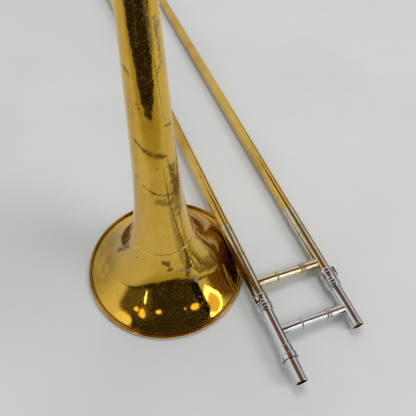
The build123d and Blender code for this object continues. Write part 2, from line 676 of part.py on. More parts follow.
def make_lock_ring():
    """Threaded ring that pulls the tenon into the receiver, with two small wings."""
    bore = tenon_radius + RUNNING_CLEARANCE
    body = bore + LOCK_RING_WALL
    skirt_bore = receiver_thread_radius + RUNNING_CLEARANCE
    skirt = skirt_bore + LOCK_SKIRT_WALL
    front = lock_ring_front
    step = front + LOCK_SKIRT_LENGTH
    shape = turned([
        (skirt_bore, front), (skirt, front), (skirt, step - 1.0), (body, step),
        (body, lower_sleeve_back - 0.8), (body - 0.5, lower_sleeve_back - 0.3),
        (bore, lower_sleeve_back - 0.3), (bore, step), (skirt_bore, step),
    ])
    for turn in (20, 200):
        middle = skirt + LOCK_WING_REACH / 2 - 0.4
        wing = Pos(middle, 0, front + 1.6) * Box(LOCK_WING_REACH + 0.8, LOCK_WING_WIDTH, 3.2)
        shape += Rot(0, 0, turn) * wing
    return shape


def make_stud():
    """Stud on the upper barrel that the slide lock's hook catches."""
    face = barrel_mouth_radius + 0.2
    stud = along_x(rod(STUD_RADIUS, face, hook_outside + 0.2))
    return Rot(0, 0, -STUD_ANGLE) * (Pos(0, 0, stud_y) * stud)


for name, place in (("lower", lower), ("upper", upper)):
    parts[f"inner_tube_{name}"] = place(inner_tube())
    parts[f"cork_barrel_{name}"] = place(cork_barrel())
    parts[f"cork_bumper_{name}"] = place(cork_bumper())
parts["sleeve_tube_lower"] = lower(lower_sleeve())
parts["sleeve_tube_upper"] = upper(upper_sleeve())
parts["leadpipe"] = upper(make_leadpipe())
parts["tenon"] = lower(make_tenon())
parts["bell_lock_ring"] = lower(make_lock_ring())
parts["slide_lock_stud"] = upper(make_stud())
cross_brace("inner_brace", inner_brace_y, INNER_BRACE_RADIUS, sleeve_tube_radius)


# ---------------------------------------------------------------- outer slide
def outer_tube():
    """Outer slide tube from inside the barrel to the bow."""
    return pipe(OUTER_RADIUS, outer_bore, outer_start, bow_start)


def grip_sleeve():
    """Nickel sleeve over the hand end of an outer tube."""
    return turned([
        (OUTER_RADIUS, outer_start), (grip_radius - 0.2, outer_start),
        (grip_radius, outer_start + 0.6), (grip_radius, grip_end - 0.5),
        (OUTER_RADIUS + 0.2, grip_end), (OUTER_RADIUS, grip_end),
    ])


def bow_ferrule():
    """Ferrule over the joint between an outer tube and the bow."""
    low = bow_start - BOW_FERRULE_HALF
    high = bow_start + BOW_FERRULE_SHORT
    return turned([
        (OUTER_RADIUS, low), (bow_ferrule_radius - 0.4, low), (bow_ferrule_radius, low + 0.6),
        (bow_ferrule_radius, high - 0.4), (bow_radius + 0.2, high), (bow_radius, high),
        (bow_radius, bow_start), (OUTER_RADIUS, bow_start),
    ])


def bow_body(outside, inside):
    """The bow's tube: two short legs and the half ring between them."""
    leg = along_y(rod(outside, bow_start, BOW_CENTRE_Y))
    shape = leg + Pos(TUBE_SPACING, 0, 0) * leg
    shape += Pos(TUBE_SPACING / 2, BOW_CENTRE_Y, 0) * half_bow(outside, 0, TUBE_SPACING / 2)
    if inside:
        shape -= bow_body(inside, 0)
    return shape


def make_bow():
    """Slide bow with the water hole through its lower leg."""
    hole = Pos(0, nipple_y, 0) * rod(NIPPLE_BORE, 0, 2 * bow_radius)
    return bow_body(bow_radius, bow_radius - BOW_WALL) - hole


def make_guard():
    """Guard plate round the outside of the bow's crown."""
    centre = Pos(TUBE_SPACING / 2, BOW_CENTRE_Y, 0)
    shell = centre * half_bow(bow_outer, 0, TUBE_SPACING / 2)
    shell -= centre * half_bow(bow_radius, 0, TUBE_SPACING / 2)
    reach = TUBE_SPACING
    keep = centre * (Pos(0, GUARD_START + reach / 2, 0) * Box(2 * reach, reach, 4 * bow_radius))
    ring = centre * (Cylinder(2 * reach, 4 * bow_radius) - Cylinder(TUBE_SPACING / 2, 4 * bow_radius))
    return shell & keep & ring


def make_tip():
    """Holder and rubber tip at the crown of the bow."""
    face = TUBE_SPACING / 2 + bow_outer
    holder = rod(TIP_HOLDER_RADIUS, face - 2.0, face + TIP_HOLDER_LENGTH)
    holder = Pos(TUBE_SPACING / 2, BOW_CENTRE_Y, 0) * along_y(holder)
    holder -= Pos(TUBE_SPACING / 2, BOW_CENTRE_Y, 0) * half_bow(bow_outer, 0, TUBE_SPACING / 2)
    low = face + TIP_HOLDER_LENGTH
    edge = Polyline((0, 0, low), (TIP_RADIUS - 0.8, 0, low), (TIP_RADIUS, 0, low + 0.8))
    edge += Line((TIP_RADIUS, 0, low + 0.8), (TIP_RADIUS, 0, low + TIP_LENGTH / 2))
    edge += Spline(
        (TIP_RADIUS, 0, low + TIP_LENGTH / 2), (TIP_RADIUS * 0.72, 0, low + TIP_LENGTH * 0.88),
        (0, 0, low + TIP_LENGTH), tangents=[(0, 0, 1), (-1, 0, 0)])
    edge += Line((0, 0, low + TIP_LENGTH), (0, 0, low))
    tip = revolve(make_face(edge), Axis.Z)
    return holder, Pos(TUBE_SPACING / 2, BOW_CENTRE_Y, 0) * along_y(tip)


for name, place in (("lower", lower), ("upper", upper)):
    parts[f"outer_tube_{name}"] = place(outer_tube())
    parts[f"grip_sleeve_{name}"] = place(grip_sleeve())
    parts[f"bow_ferrule_{name}"] = place(bow_ferrule())
cross_brace("hand_brace", hand_brace_y, HAND_BRACE_RADIUS, grip_radius)
parts["slide_bow"] = SLIDE_POSE * make_bow()
parts["bow_guard"] = SLIDE_POSE * make_guard()
tip_holder, rubber_tip = make_tip()
parts["tip_holder"] = SLIDE_POSE * tip_holder
parts["rubber_tip"] = SLIDE_POSE * rubber_tip


# ---------------------------------------------------------------- water key
def make_nipple():
    """Nipple over the water hole, shaped to the bow's leg."""
    barrel = rod(NIPPLE_RADIUS, 0, nipple_top)
    foot = rod(NIPPLE_RADIUS + 0.6, 0, bow_radius + 0.7)
    nipple = Pos(0, nipple_y, 0) * (barrel + foot - rod(NIPPLE_BORE, 0, 2 * nipple_top))
    return nipple - along_y(rod(bow_radius, bow_start, BOW_CENTRE_Y + NIPPLE_RADIUS + 2.0))


def make_saddle():
    """Saddle soldered on the lower bow ferrule, with an ear each side of the lever."""
    top = key_pivot_z + KEY_HINGE_RADIUS + 0.2
    bottom = bow_ferrule_radius * 0.7
    channel = key_pivot_z - KEY_HINGE_RADIUS - 0.8
    block = Pos(0, key_pivot_y, (top + bottom) / 2) * Box(
        2 * key_ear_outside, KEY_EAR_LENGTH, top - bottom)
    block -= Pos(0, key_pivot_y, channel + top) * Box(
        2 * key_ear_inside, 2 * KEY_EAR_LENGTH, 2 * top)
    block -= along_y(rod(bow_ferrule_radius, bow_start - 30, BOW_CENTRE_Y))
    block -= Pos(0, key_pivot_y, key_pivot_z) * along_x(rod(KEY_PIN_RADIUS, -20, 20))
    return block


def make_key_pin():
    """Hinge pin with a slotted head."""
    reach = key_ear_outside + 0.4
    pin = along_x(rod(KEY_PIN_RADIUS, -reach, reach) + rod(KEY_PIN_RADIUS * 1.7, reach, reach + 1.0))
    slot = Pos(reach + 1.0, 0, 0) * Box(0.8, 0.5, 5 * KEY_PIN_RADIUS)
    return Pos(0, key_pivot_y, key_pivot_z) * (pin - slot)


def make_key_spring():
    """Wire spring: turns round the hinge and a leg lying on the saddle."""
    radius = KEY_HINGE_RADIUS + SPRING_WIRE + 0.1
    spring = None
    for turn in range(SPRING_TURNS):
        x = KEY_BAR_HALF + 0.35 + SPRING_WIRE + turn * SPRING_WIRE * 1.5
        loop = Pos(x, 0, 0) * along_x(Torus(radius, SPRING_WIRE))
        spring = loop if spring is None else spring + loop
    leg_x = KEY_BAR_HALF + 0.35 + SPRING_WIRE
    leg = Pos(leg_x, 0, -radius) * along_y(rod(SPRING_WIRE, 0, KEY_EAR_LENGTH / 2))
    return Pos(0, key_pivot_y, key_pivot_z) * (spring + leg)


def make_key_lever():
    """Lever: pad cup over the nipple, hinge tube, and a touch plate for the finger."""
    bar_middle = key_bar_low + KEY_BAR_THICK / 2
    length = nipple_y - key_touch_y
    lever = Pos(0, (nipple_y + key_touch_y) / 2, bar_middle) * Box(
        2 * KEY_BAR_HALF, length, KEY_BAR_THICK)
    lever += Pos(0, nipple_y, 0) * rod(PAD_RADIUS + 0.5, key_bar_low, key_bar_low + KEY_BAR_THICK)
    lever += Pos(0, key_touch_y, 0) * rod(KEY_TOUCH_RADIUS, key_bar_low, key_bar_low + KEY_BAR_THICK)
    hinge = along_x(rod(KEY_HINGE_RADIUS, -KEY_HINGE_HALF, KEY_HINGE_HALF))
    lever += Pos(0, key_pivot_y, key_pivot_z) * hinge
    bore = along_x(rod(KEY_PIN_RADIUS + RUNNING_CLEARANCE, -20, 20))
    return lever - Pos(0, key_pivot_y, key_pivot_z) * bore


parts["water_key_nipple"] = SLIDE_POSE * make_nipple()
parts["water_key_saddle"] = SLIDE_POSE * make_saddle()
parts["water_key_pin"] = SLIDE_POSE * make_key_pin()
parts["water_key_spring"] = SLIDE_POSE * make_key_spring()
parts["water_key_lever"] = SLIDE_POSE * make_key_lever()
parts["water_key_cork"] = SLIDE_POSE * (
    Pos(0, nipple_y, 0) * rod(PAD_RADIUS, nipple_top + PAD_GAP, key_bar_low))


# ---------------------------------------------------------------- slide lock
def make_slide_lock():
    """Turning band on the upper grip with a hook that catches the barrel's stud."""
    high = lock_band_y + LOCK_BAND_LENGTH
    band = turned([
        (lock_band_bore, lock_band_y), (lock_band_radius, lock_band_y),
        (lock_band_radius + 0.3, lock_band_y + LOCK_BAND_LENGTH / 2), (lock_band_radius, high),
        (lock_band_bore, high),
    ])
    finger_back = stud_y - STUD_RADIUS - 0.4 - HOOK_FINGER_LENGTH

    def arc_block(inside, outside, low, top, angle):
        outline = Polyline(
            (inside, 0, low), (outside, 0, low), (outside, 0, top), (inside, 0, top), close=True)
        return Rot(0, 0, -angle) * revolve(make_face(outline), Axis.Z, angle)

    root = arc_block(lock_band_bore + 0.3, hook_outside, lock_band_y + 0.2, high, HOOK_ARM_ANGLE)
    arm = arc_block(hook_inside, hook_outside, finger_back, high, HOOK_ARM_ANGLE)
    finger = arc_block(
        hook_inside, hook_outside, finger_back, finger_back + HOOK_FINGER_LENGTH, HOOK_FINGER_ANGLE)
    start = STUD_ANGLE - HOOK_TURN_TO_STUD - HOOK_ARM_ANGLE
    return Rot(0, 0, -start) * (band + root + arm + finger)


parts["slide_lock_ring"] = upper(make_slide_lock())

# ---------------------------------------------------------------- write one file per piece
os.makedirs("parts", exist_ok=True)
for node, shape in parts.items():
    shape.label = node
    export_step(shape, f"parts/{node}.step")
print(f"{len(parts)} pieces, slide axis {slide_height:.2f} mm up, "
      f"pitch {slide_pitch:.3f}, roll {slide_roll:.3f} degrees")
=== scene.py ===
"""Looks for a tenor trombone taken apart: the bell section stands on its rim, the handslide lies by it."""

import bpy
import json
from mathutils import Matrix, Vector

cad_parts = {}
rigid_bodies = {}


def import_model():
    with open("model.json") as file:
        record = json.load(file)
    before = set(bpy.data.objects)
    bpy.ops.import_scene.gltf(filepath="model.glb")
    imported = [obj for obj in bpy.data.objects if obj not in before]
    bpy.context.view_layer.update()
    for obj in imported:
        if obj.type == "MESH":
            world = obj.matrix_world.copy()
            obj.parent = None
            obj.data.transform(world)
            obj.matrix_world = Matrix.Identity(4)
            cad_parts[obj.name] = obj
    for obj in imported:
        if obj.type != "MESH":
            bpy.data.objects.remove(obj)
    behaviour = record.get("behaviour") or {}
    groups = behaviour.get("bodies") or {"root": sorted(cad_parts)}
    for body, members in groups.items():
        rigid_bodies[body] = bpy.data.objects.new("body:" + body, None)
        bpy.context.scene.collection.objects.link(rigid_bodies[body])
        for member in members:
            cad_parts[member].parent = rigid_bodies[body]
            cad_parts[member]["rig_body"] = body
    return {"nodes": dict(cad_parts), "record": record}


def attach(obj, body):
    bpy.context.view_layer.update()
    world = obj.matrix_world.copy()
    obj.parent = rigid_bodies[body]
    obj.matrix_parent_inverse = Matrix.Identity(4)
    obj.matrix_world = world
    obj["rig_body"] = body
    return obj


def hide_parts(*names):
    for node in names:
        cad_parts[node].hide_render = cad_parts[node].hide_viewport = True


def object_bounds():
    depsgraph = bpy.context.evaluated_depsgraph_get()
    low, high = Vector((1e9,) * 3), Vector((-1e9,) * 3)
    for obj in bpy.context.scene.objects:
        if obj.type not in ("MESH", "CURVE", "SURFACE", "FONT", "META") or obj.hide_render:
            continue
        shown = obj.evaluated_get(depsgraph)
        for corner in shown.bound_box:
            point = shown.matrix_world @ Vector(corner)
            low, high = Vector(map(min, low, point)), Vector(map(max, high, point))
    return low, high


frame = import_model()
CAD_BOX = [list(corner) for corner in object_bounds()]

import json
import logging
from dataclasses import dataclass, field
from enum import Enum
from math import cos, radians, sin
from typing import Any

import bpy
from mathutils import Matrix, Quaternion, Vector

LOG = logging.getLogger("trombone")
MM = 0.001
Colour = tuple[float, float, float]
Point = tuple[float, float, float]
Profile = tuple[tuple[float, float], ...]


# ---- shader maths
class Wire:
    """A shader socket that Python's arithmetic works on; each operator adds a Math node."""

    def __init__(self, graph: "Graph", socket: bpy.types.NodeSocket) -> None:
        """Wrap a socket.

        Args:
            graph: The node tree that the socket is in.
            socket: The output socket to wrap.
        """
        self.graph = graph
        self.socket = socket

    def maths(self, operation: str, first: Any, second: Any = 0.0) -> "Wire":
        """Add one Math node.

        Args:
            operation: Blender's name of the operation.
            first: Its first value or Wire.
            second: Its second value or Wire.

        Returns:
            The node's result.
        """
        return self.graph.node("ShaderNodeMath", {"operation": operation}, {0: first, 1: second})

    def __add__(self, other: Any) -> "Wire":
        """Return self + other."""
        return self.maths("ADD", self, other)

    def __radd__(self, other: Any) -> "Wire":
        """Return other + self."""
        return self.maths("ADD", other, self)

    def __sub__(self, other: Any) -> "Wire":
        """Return self - other."""
        return self.maths("SUBTRACT", self, other)

    def __rsub__(self, other: Any) -> "Wire":
        """Return other - self."""
        return self.maths("SUBTRACT", other, self)

    def __mul__(self, other: Any) -> "Wire":
        """Return self * other."""
        return self.maths("MULTIPLY", self, other)

    def __rmul__(self, other: Any) -> "Wire":
        """Return other * self."""
        return self.maths("MULTIPLY", other, self)

    def __truediv__(self, other: Any) -> "Wire":
        """Return self / other."""
        return self.maths("DIVIDE", self, other)

    def __pow__(self, other: Any) -> "Wire":
        """Return self ** other."""
        return self.maths("POWER", self, other)

    def most(self, other: Any) -> "Wire":
        """Return the larger of self and other."""
        return self.maths("MAXIMUM", self, other)

    def least(self, other: Any) -> "Wire":
        """Return the smaller of self and other."""
        return self.maths("MINIMUM", self, other)

    def size(self) -> "Wire":
        """Return self without its sign."""
        return self.maths("ABSOLUTE", self)

    def clamped(self) -> "Wire":
        """Return self kept between 0 and 1."""
        return self.graph.node("ShaderNodeClamp", {}, {"Value": self})

    def rise(self, low: float, high: float) -> "Wire":
        """Return a smooth step of self.

        Args:
            low: Where the step is still 0.
            high: Where it has reached 1; below low for a falling step.

        Returns:
            The step, from 0 to 1.
        """
        if high < low:
            return 1.0 - self.rise(high, low)
        return self.graph.node(
            "ShaderNodeMapRange", {"interpolation_type": "SMOOTHSTEP"},
            {"Value": self, "From Min": low, "From Max": high, "To Min": 0.0, "To Max": 1.0})


class Graph:
    """A node tree that is written as expressions."""

    def __init__(self, tree: bpy.types.NodeTree) -> None:
        """Start on a node tree and empty it.

        Args:
            tree: The tree of a material or of the world.
        """
        self.tree = tree
        tree.nodes.clear()

    def node(self, kind: str, settings: dict[str, Any], inputs: dict[Any, Any], output: Any = 0) -> Any:
        """Add a node of any type.

        Args:
            kind: The node's type.
            settings: Its own settings, set first.
            inputs: Values or Wires by socket name or number.
            output: Which output to return.

        Returns:
            That output's Wire, or None where the node has none.
        """
        made = self.tree.nodes.new(kind)
        for key, value in settings.items():
            setattr(made, key, value)
        for key, value in inputs.items():
            if isinstance(value, Wire):
                self.tree.links.new(value.socket, made.inputs[key])
            elif hasattr(value, "__len__") and made.inputs[key].type == "RGBA":
                made.inputs[key].default_value = (*value, 1.0)[:4]
            else:
                made.inputs[key].default_value = value
        return Wire(self, made.outputs[output]) if len(made.outputs) else None

    def vector(self, operation: str, first: Any, second: Any = (0.0, 0.0, 0.0)) -> Wire:
        """Add a Vector Math node that gives a vector.

        Args:
            operation: Blender's name of the operation.
            first: Its first vector.
            second: Its second vector.

        Returns:
            The vector.
        """
        return self.node("ShaderNodeVectorMath", {"operation": operation}, {0: first, 1: second})

    def measure(self, operation: str, first: Any, second: Any = (0.0, 0.0, 0.0)) -> Wire:
        """Add a Vector Math node that gives a number, such as a dot product or a distance.

        Args:
            operation: Blender's name of the operation.
            first: Its first vector.
            second: Its second vector.

        Returns:
            The number.
        """
        return self.node("ShaderNodeVectorMath", {"operation": operation}, {0: first, 1: second}, "Value")

    def mix(self, share: Any, first: Any, second: Any) -> Wire:
        """Blend two colours.

        Args:
            share: 0 for the first colour, 1 for the second.
            first: A colour or Wire.
            second: A colour or Wire.

        Returns:
            The blended colour.
        """
        return self.node("ShaderNodeMix", {"data_type": "RGBA"}, {0: share, 6: first, 7: second}, 2)

    def noise(self, place: Wire, scale: float, detail: float = 3.0, rough: float = 0.5) -> Wire:
        """Return fractal noise from 0 to 1.

        Args:
            place: Where it is read.
            scale: Features per metre.
            detail: How many finer layers it has.
            rough: How strong the finer layers are.

        Returns:
            The noise.
        """
        return self.node("ShaderNodeTexNoise", {}, {
            "Vector": place, "Scale": scale, "Detail": detail, "Roughness": rough}, "Fac")

    def object_place(self) -> Wire:
        """Return the point in the part's own frame, in metres."""
        return self.node("ShaderNodeTexCoord", {}, {}, "Object")

    def near_line(self, place: Wire, start: Point, end: Point) -> Wire:
        """Return the distance to a straight line between two points.

        Args:
            place: Where it is read.
            start: One end.
            end: The other end, which may be the same point.

        Returns:
            The distance, in metres.
        """
        offset = self.vector("SUBTRACT", place, start)
        along = Vector(end) - Vector(start)
        if along.length < 1e-6:
            return self.measure("LENGTH", offset)
        share = self.measure("DOT_PRODUCT", offset, tuple(along / along.length_squared)).clamped()
        foot = self.node("ShaderNodeVectorMath", {"operation": "SCALE"}, {0: tuple(along), "Scale": share})
        return self.measure("DISTANCE", offset, foot)


# ---- finishes
@dataclass(frozen=True)
class Mark:
    """A line or spot on the metal, of wear, tarnish, dents or broad painted shade, through two or more points
    of its surface.

    Attributes:
        points: The points it runs through, in metres; one point makes a spot.
        width: Half its width, in metres.
        ragged: How far noise moves its edge, in metres.
    """

    points: tuple[Point, ...]
    width: float
    ragged: float = 0.001

    def mask(self, graph: Graph, place: Wire) -> Wire:
        """Draw the mark.

        Args:
            graph: The material's graph.
            place: Object coordinates.

        Returns:
            1 on the mark and 0 off it.
        """
        shifts = graph.node("ShaderNodeTexNoise", {}, {
            "Vector": place, "Scale": 0.5 / self.width, "Detail": 4.0}, "Color")
        centred = graph.vector("SUBTRACT", shifts, (0.5, 0.5, 0.5))
        moved = graph.vector("ADD", place, graph.vector("MULTIPLY", centred, (self.ragged * 4,) * 3))
        pairs = list(zip(self.points, self.points[1:])) or [(self.points[0], self.points[0])]
        near = None
        for start, end in pairs:
            here = graph.near_line(moved, start, end)
            near = here if near is None else near.least(here)
        return near.rise(self.width * 1.15, self.width * 0.75)


class Finish:
    """A material that is made once and then shared."""

    name: str
    made: dict[str, bpy.types.Material] = {}

    def material(self) -> bpy.types.Material:
        """Make the material on its first use.

        Returns:
            The material.
        """
        if self.name not in Finish.made:
            made = bpy.data.materials.new(self.name)
            made.use_nodes = True
            self.paint(Graph(made.node_tree))
            Finish.made[self.name] = made
        return Finish.made[self.name]

    def paint(self, graph: Graph) -> None:
        """Write the material's nodes; each finish has its own."""
        raise NotImplementedError

    @staticmethod
    def surface(graph: Graph, **sockets: Any) -> None:
        """Add the Principled shader and the output.

        Args:
            graph: The material's graph.
            sockets: The shader's inputs, with _ for each space in a name.
        """
        inputs = {key.replace("_", " "): value for key, value in sockets.items()}
        shader = graph.node("ShaderNodeBsdfPrincipled", {}, inputs)
        graph.node("ShaderNodeOutputMaterial", {}, {"Surface": shader})

    @staticmethod
    def relief(graph: Graph, height: Wire, depth: float) -> Wire:
        """Bend the surface's normal by a height.

        Args:
            graph: The material's graph.
            height: The height, from 0 to 1.
            depth: What a height of 1 is, in metres.

        Returns:
            The bent normal.
        """
        return graph.node("ShaderNodeBump", {}, {"Height": height, "Distance": depth, "Strength": 1.0})


@dataclass(frozen=True)
class LacqueredBrass(Finish):
    """Yellow brass under clear lacquer, spotted where the lacquer has failed.

    Attributes:
        name: The material's name.
        gold: Colour of sound metal.
        deep: Colour where the lacquer has darkened.
        spots: Share of the surface that small brown spots cover.
        haze: How far large patches darken.
        tarnish: Marks of brown tarnish.
        verdigris: Marks of grey-green tarnish.
        bare: Patches with the lacquer worn off.
        creases: Lines that are dented in.
        smudges: Brown smears where the lacquer has yellowed.
        shade: Where broad painted shade darkens the metal.
        solder: Height of a bright soldered seam round the bell, in metres; 0 for none.
        crevice: Radius of the dark line inside the rim bead, in metres; 0 for none.
        painted_shade_tone: Colour of broadly darkened metal.
        speck: Colour of the small spots.
        smudge: Colour of the smears.
        brown: Colour of brown tarnish.
        green: Colour of grey-green tarnish.
        pink: Colour of metal with its lacquer worn off.
        braze: Colour of the soldered seam.
        painted_crevice_shade: Colour of the painted shade in the crevice inside the rim bead.
    """

    name: str = "lacquered_brass_plain"
    gold: Colour = (0.84, 0.52, 0.075)
    deep: Colour = (0.60, 0.35, 0.024)
    spots: float = 0.30
    haze: float = 0.5
    tarnish: tuple[Mark, ...] = ()
    verdigris: tuple[Mark, ...] = ()
    bare: tuple[Mark, ...] = ()
    creases: tuple[Mark, ...] = ()
    smudges: tuple[Mark, ...] = ()
    shade: tuple[Mark, ...] = ()
    solder: float = 0.0
    crevice: float = 0.0
    # dim: Colour of the broad painted shade.
    painted_shade_tone: Colour = (0.36, 0.22, 0.035)
    speck: Colour = (0.10, 0.055, 0.015)
    smudge: Colour = (0.33, 0.19, 0.012)
    brown: Colour = (0.16, 0.08, 0.008)
    green: Colour = (0.20, 0.22, 0.13)
    pink: Colour = (0.62, 0.42, 0.26)
    braze: Colour = (0.98, 0.80, 0.36)
    painted_crevice_shade: Colour = (0.02, 0.012, 0.004)

    @staticmethod
    def marked(graph: Graph, place: Wire, marks: tuple[Mark, ...]) -> Any:
        """Draw several marks as one.

        Args:
            graph: The material's graph.
            place: Object coordinates.
            marks: The marks.

        Returns:
            Their mask, or 0 if there are none.
        """
        mask: Any = 0.0
        for mark in marks:
            mask = mark.mask(graph, place).most(mask)
        return mask

    def metal(self, graph: Graph, place: Wire, cloudy: Wire) -> Wire:
        """Colour the metal before anything has marked it, with its broad painted shade.

        Args:
            graph: The material's graph.
            place: Object coordinates.
            cloudy: Where the lacquer has darkened.

        Returns:
            The colour.
        """
        colour = graph.mix(cloudy, self.gold, self.deep)
        streaks = graph.noise(graph.vector("MULTIPLY", place, (1.0, 1.0, 0.10)), 240.0, 3.0, 0.6)
        colour = graph.mix(streaks.rise(0.50, 0.75) * 0.35, colour, self.deep)
        # Broad painted shade: the given patches darken the metal, unevenly.
        if self.shade:
            painted_shade_tone = graph.noise(place, 75.0, 5.0, 0.6).rise(0.30, 0.60)
            painted_shade_mask: Any = 0.0
            for shade_patch in self.shade:
                away = graph.near_line(place, shade_patch.points[0], shade_patch.points[-1])
                painted_shade_mask = away.rise(shade_patch.width, shade_patch.width * 0.35).most(painted_shade_mask)
            colour = graph.mix(painted_shade_mask * (0.45 + painted_shade_tone * 0.4), colour, self.painted_shade_tone)
        return colour

    def paint(self, graph: Graph) -> None:
        """Write the nodes of the lacquered brass.

        Args:
            graph: The material's graph.
        """
        place = graph.object_place()
        cloudy = graph.noise(place, 14.0, 4.0, 0.55).rise(0.42, 0.72) * self.haze
        colour = self.metal(graph, place, cloudy)
        speck_field = graph.noise(place, 520.0, 2.0, 0.6)
        where = graph.noise(place, 38.0, 3.0, 0.6)
        specks = speck_field.rise(0.74 - 0.12 * self.spots, 0.78) * where.rise(0.50, 0.62)
        colour = graph.mix(specks * 0.75, colour, self.speck)
        dust = graph.noise(place, 900.0, 2.0, 0.6).rise(0.57, 0.66)
        dusty = dust * graph.noise(place, 60.0).rise(0.30, 0.55)
        dulled = specks * 0.3 + cloudy * 0.05 + dusty * 0.40
        mottle = graph.noise(place, 260.0, 3.0, 0.6)
        if self.smudges:
            smeared = self.marked(graph, place, self.smudges) * mottle.rise(0.10, 0.45)
            colour = graph.mix(smeared * 0.75, colour, self.smudge)
        for marks, low, high, share, stain in (
                (self.tarnish, 0.30, 0.55, 0.80, self.brown),
                (self.verdigris, 0.36, 0.56, 0.80, self.green),
                (self.bare, 0.34, 0.50, 0.85, self.pink)):
            if marks:
                mask = self.marked(graph, place, marks)
                colour = graph.mix(mask * mottle.rise(low, high) * share, colour, stain)
                dulled = dulled + mask * 0.28
        smear = graph.noise(graph.vector("MULTIPLY", place, (1.0, 1.0, 0.18)), 120.0, 4.0, 0.6)
        rough = 0.055 + dulled + smear.rise(0.5, 0.8) * 0.05
        ripple = graph.noise(place, 22.0, 2.0, 0.4) * 0.75 + graph.noise(place, 320.0, 2.0, 0.5) * 0.02
        if self.creases:
            ripple = ripple - self.marked(graph, place, self.creases) * 0.7
        if self.solder:
            height = graph.measure("DOT_PRODUCT", place, (0.0, 0.0, 1.0)) - self.solder
            seam = height.size().rise(0.0010, 0.0004)
            colour = graph.mix(seam * 0.8, colour, self.braze)
            rough = rough + seam * 0.2
        # Painted shade: a near-black, rougher line in the crevice inside the rim bead.
        if self.crevice:
            radius = graph.measure("LENGTH", graph.vector("MULTIPLY", place, (1.0, 1.0, 0.0)))
            dirt_and_crevice_shade = (radius - self.crevice).size().rise(0.0007, 0.0004)
            colour = graph.mix(dirt_and_crevice_shade * 0.95, colour, self.painted_crevice_shade)
            rough = rough + dirt_and_crevice_shade * 0.5
        normal = self.relief(graph, ripple, 0.0012)
        self.surface(graph, Base_Color=colour, Metallic=1.0, Roughness=rough, Normal=normal,
                     Coat_Weight=0.12, Coat_Roughness=0.04)


@dataclass(frozen=True)
class BareBrass(Finish):
    """Drawn brass without lacquer, duller than the rest."""

    name: str = "raw_brass_drawn"
    fresh: Colour = (0.74, 0.52, 0.20)
    old: Colour = (0.42, 0.27, 0.09)

    def paint(self, graph: Graph) -> None:
        """Write the nodes of the bare brass.

        Args:
            graph: The material's graph.
        """
        place = graph.object_place()
        age = graph.noise(place, 60.0, 4.0, 0.6)
        colour = graph.mix(age.rise(0.4, 0.7), self.fresh, self.old)
        drawn = graph.noise(graph.vector("MULTIPLY", place, (1.0, 0.03, 1.0)), 1500.0, 2.0, 0.5)
        self.surface(graph, Base_Color=colour, Metallic=1.0, Roughness=0.22 + age * 0.15,
                     Normal=self.relief(graph, drawn, 0.00004))


@dataclass(frozen=True)
class NickelSilver(Finish):
    """Polished nickel silver that has yellowed, with olive tarnish in patches."""

    name: str = "nickel_silver_aged"
    bright: Colour = (0.74, 0.68, 0.49)
    olive: Colour = (0.42, 0.37, 0.18)
    dirt_and_crevice_shade: Colour = (0.10, 0.09, 0.05)

    def paint(self, graph: Graph) -> None:
        """Write the nodes of the nickel silver.

        Args:
            graph: The material's graph.
        """
        place = graph.object_place()
        patch = graph.noise(place, 55.0, 5.0, 0.62).rise(0.46, 0.72)
        colour = graph.mix(patch * 0.75, self.bright, self.olive)
        pits = graph.noise(place, 900.0, 2.0, 0.6).rise(0.64, 0.72)
        where = graph.noise(place, 70.0, 3.0, 0.6).rise(0.48, 0.64)
        grime = pits * where
        colour = graph.mix(grime * 0.8, colour, self.dirt_and_crevice_shade)
        height = graph.noise(place, 30.0, 2.0, 0.4) * 0.7 - grime * 0.05
        self.surface(graph, Base_Color=colour, Metallic=1.0, Roughness=0.10 + patch * 0.12 + grime * 0.3,
                     Normal=self.relief(graph, height, 0.0006))


@dataclass(frozen=True)
class ChromePlate(Finish):
    """Bright chrome with faint pitting."""

    name: str = "chrome_plate_bright"
    bright: Colour = (0.70, 0.715, 0.745)
    filmed: Colour = (0.48, 0.46, 0.42)
    pit: Colour = (0.20, 0.18, 0.16)

    def paint(self, graph: Graph) -> None:
        """Write the nodes of the chrome.

        Args:
            graph: The material's graph.
        """
        place = graph.object_place()
        pits = graph.noise(place, 1100.0, 2.0, 0.6).rise(0.70, 0.76)
        film = graph.noise(place, 80.0, 4.0, 0.6).rise(0.45, 0.75)
        colour = graph.mix(pits * 0.7, graph.mix(film * 0.45, self.bright, self.filmed), self.pit)
        height = graph.noise(place, 35.0, 2.0, 0.4) * 0.5 - pits * 0.03
        self.surface(graph, Base_Color=colour, Metallic=1.0, Roughness=0.035 + film * 0.05 + pits * 0.2,
                     Normal=self.relief(graph, height, 0.0005))


@dataclass(frozen=True)
class DrawnSteel(Finish):
    """Steel wire and pins, dull with a brown bloom."""

    name: str = "steel_drawn"
    clean: Colour = (0.56, 0.57, 0.58)
    rust: Colour = (0.26, 0.16, 0.09)

    def paint(self, graph: Graph) -> None:
        """Write the nodes of the steel.

        Args:
            graph: The material's graph.
        """
        place = graph.object_place()
        bloom = graph.noise(place, 400.0, 4.0, 0.6).rise(0.5, 0.8)
        colour = graph.mix(bloom * 0.6, self.clean, self.rust)
        self.surface(graph, Base_Color=colour, Metallic=1.0, Roughness=0.25 + bloom * 0.3)


@dataclass(frozen=True)
class NaturalCork(Finish):
    """Pressed cork: pale grains with dark lenticels between them."""

    name: str = "cork_natural"
    pale: Colour = (0.55, 0.36, 0.20)
    tan: Colour = (0.40, 0.24, 0.12)
    lenticel: Colour = (0.14, 0.07, 0.03)

    def paint(self, graph: Graph) -> None:
        """Write the nodes of the cork.

        Args:
            graph: The material's graph.
        """
        place = graph.object_place()
        grain = graph.node("ShaderNodeTexVoronoi", {}, {"Vector": place, "Scale": 900.0}, "Distance")
        fleck = graph.noise(place, 700.0, 4.0, 0.7).rise(0.58, 0.68)
        colour = graph.mix(grain.rise(0.2, 0.7), self.pale, self.tan)
        colour = graph.mix(fleck, colour, self.lenticel)
        self.surface(graph, Base_Color=colour, Roughness=0.85,
                     Normal=self.relief(graph, grain - fleck * 0.5, 0.0002))


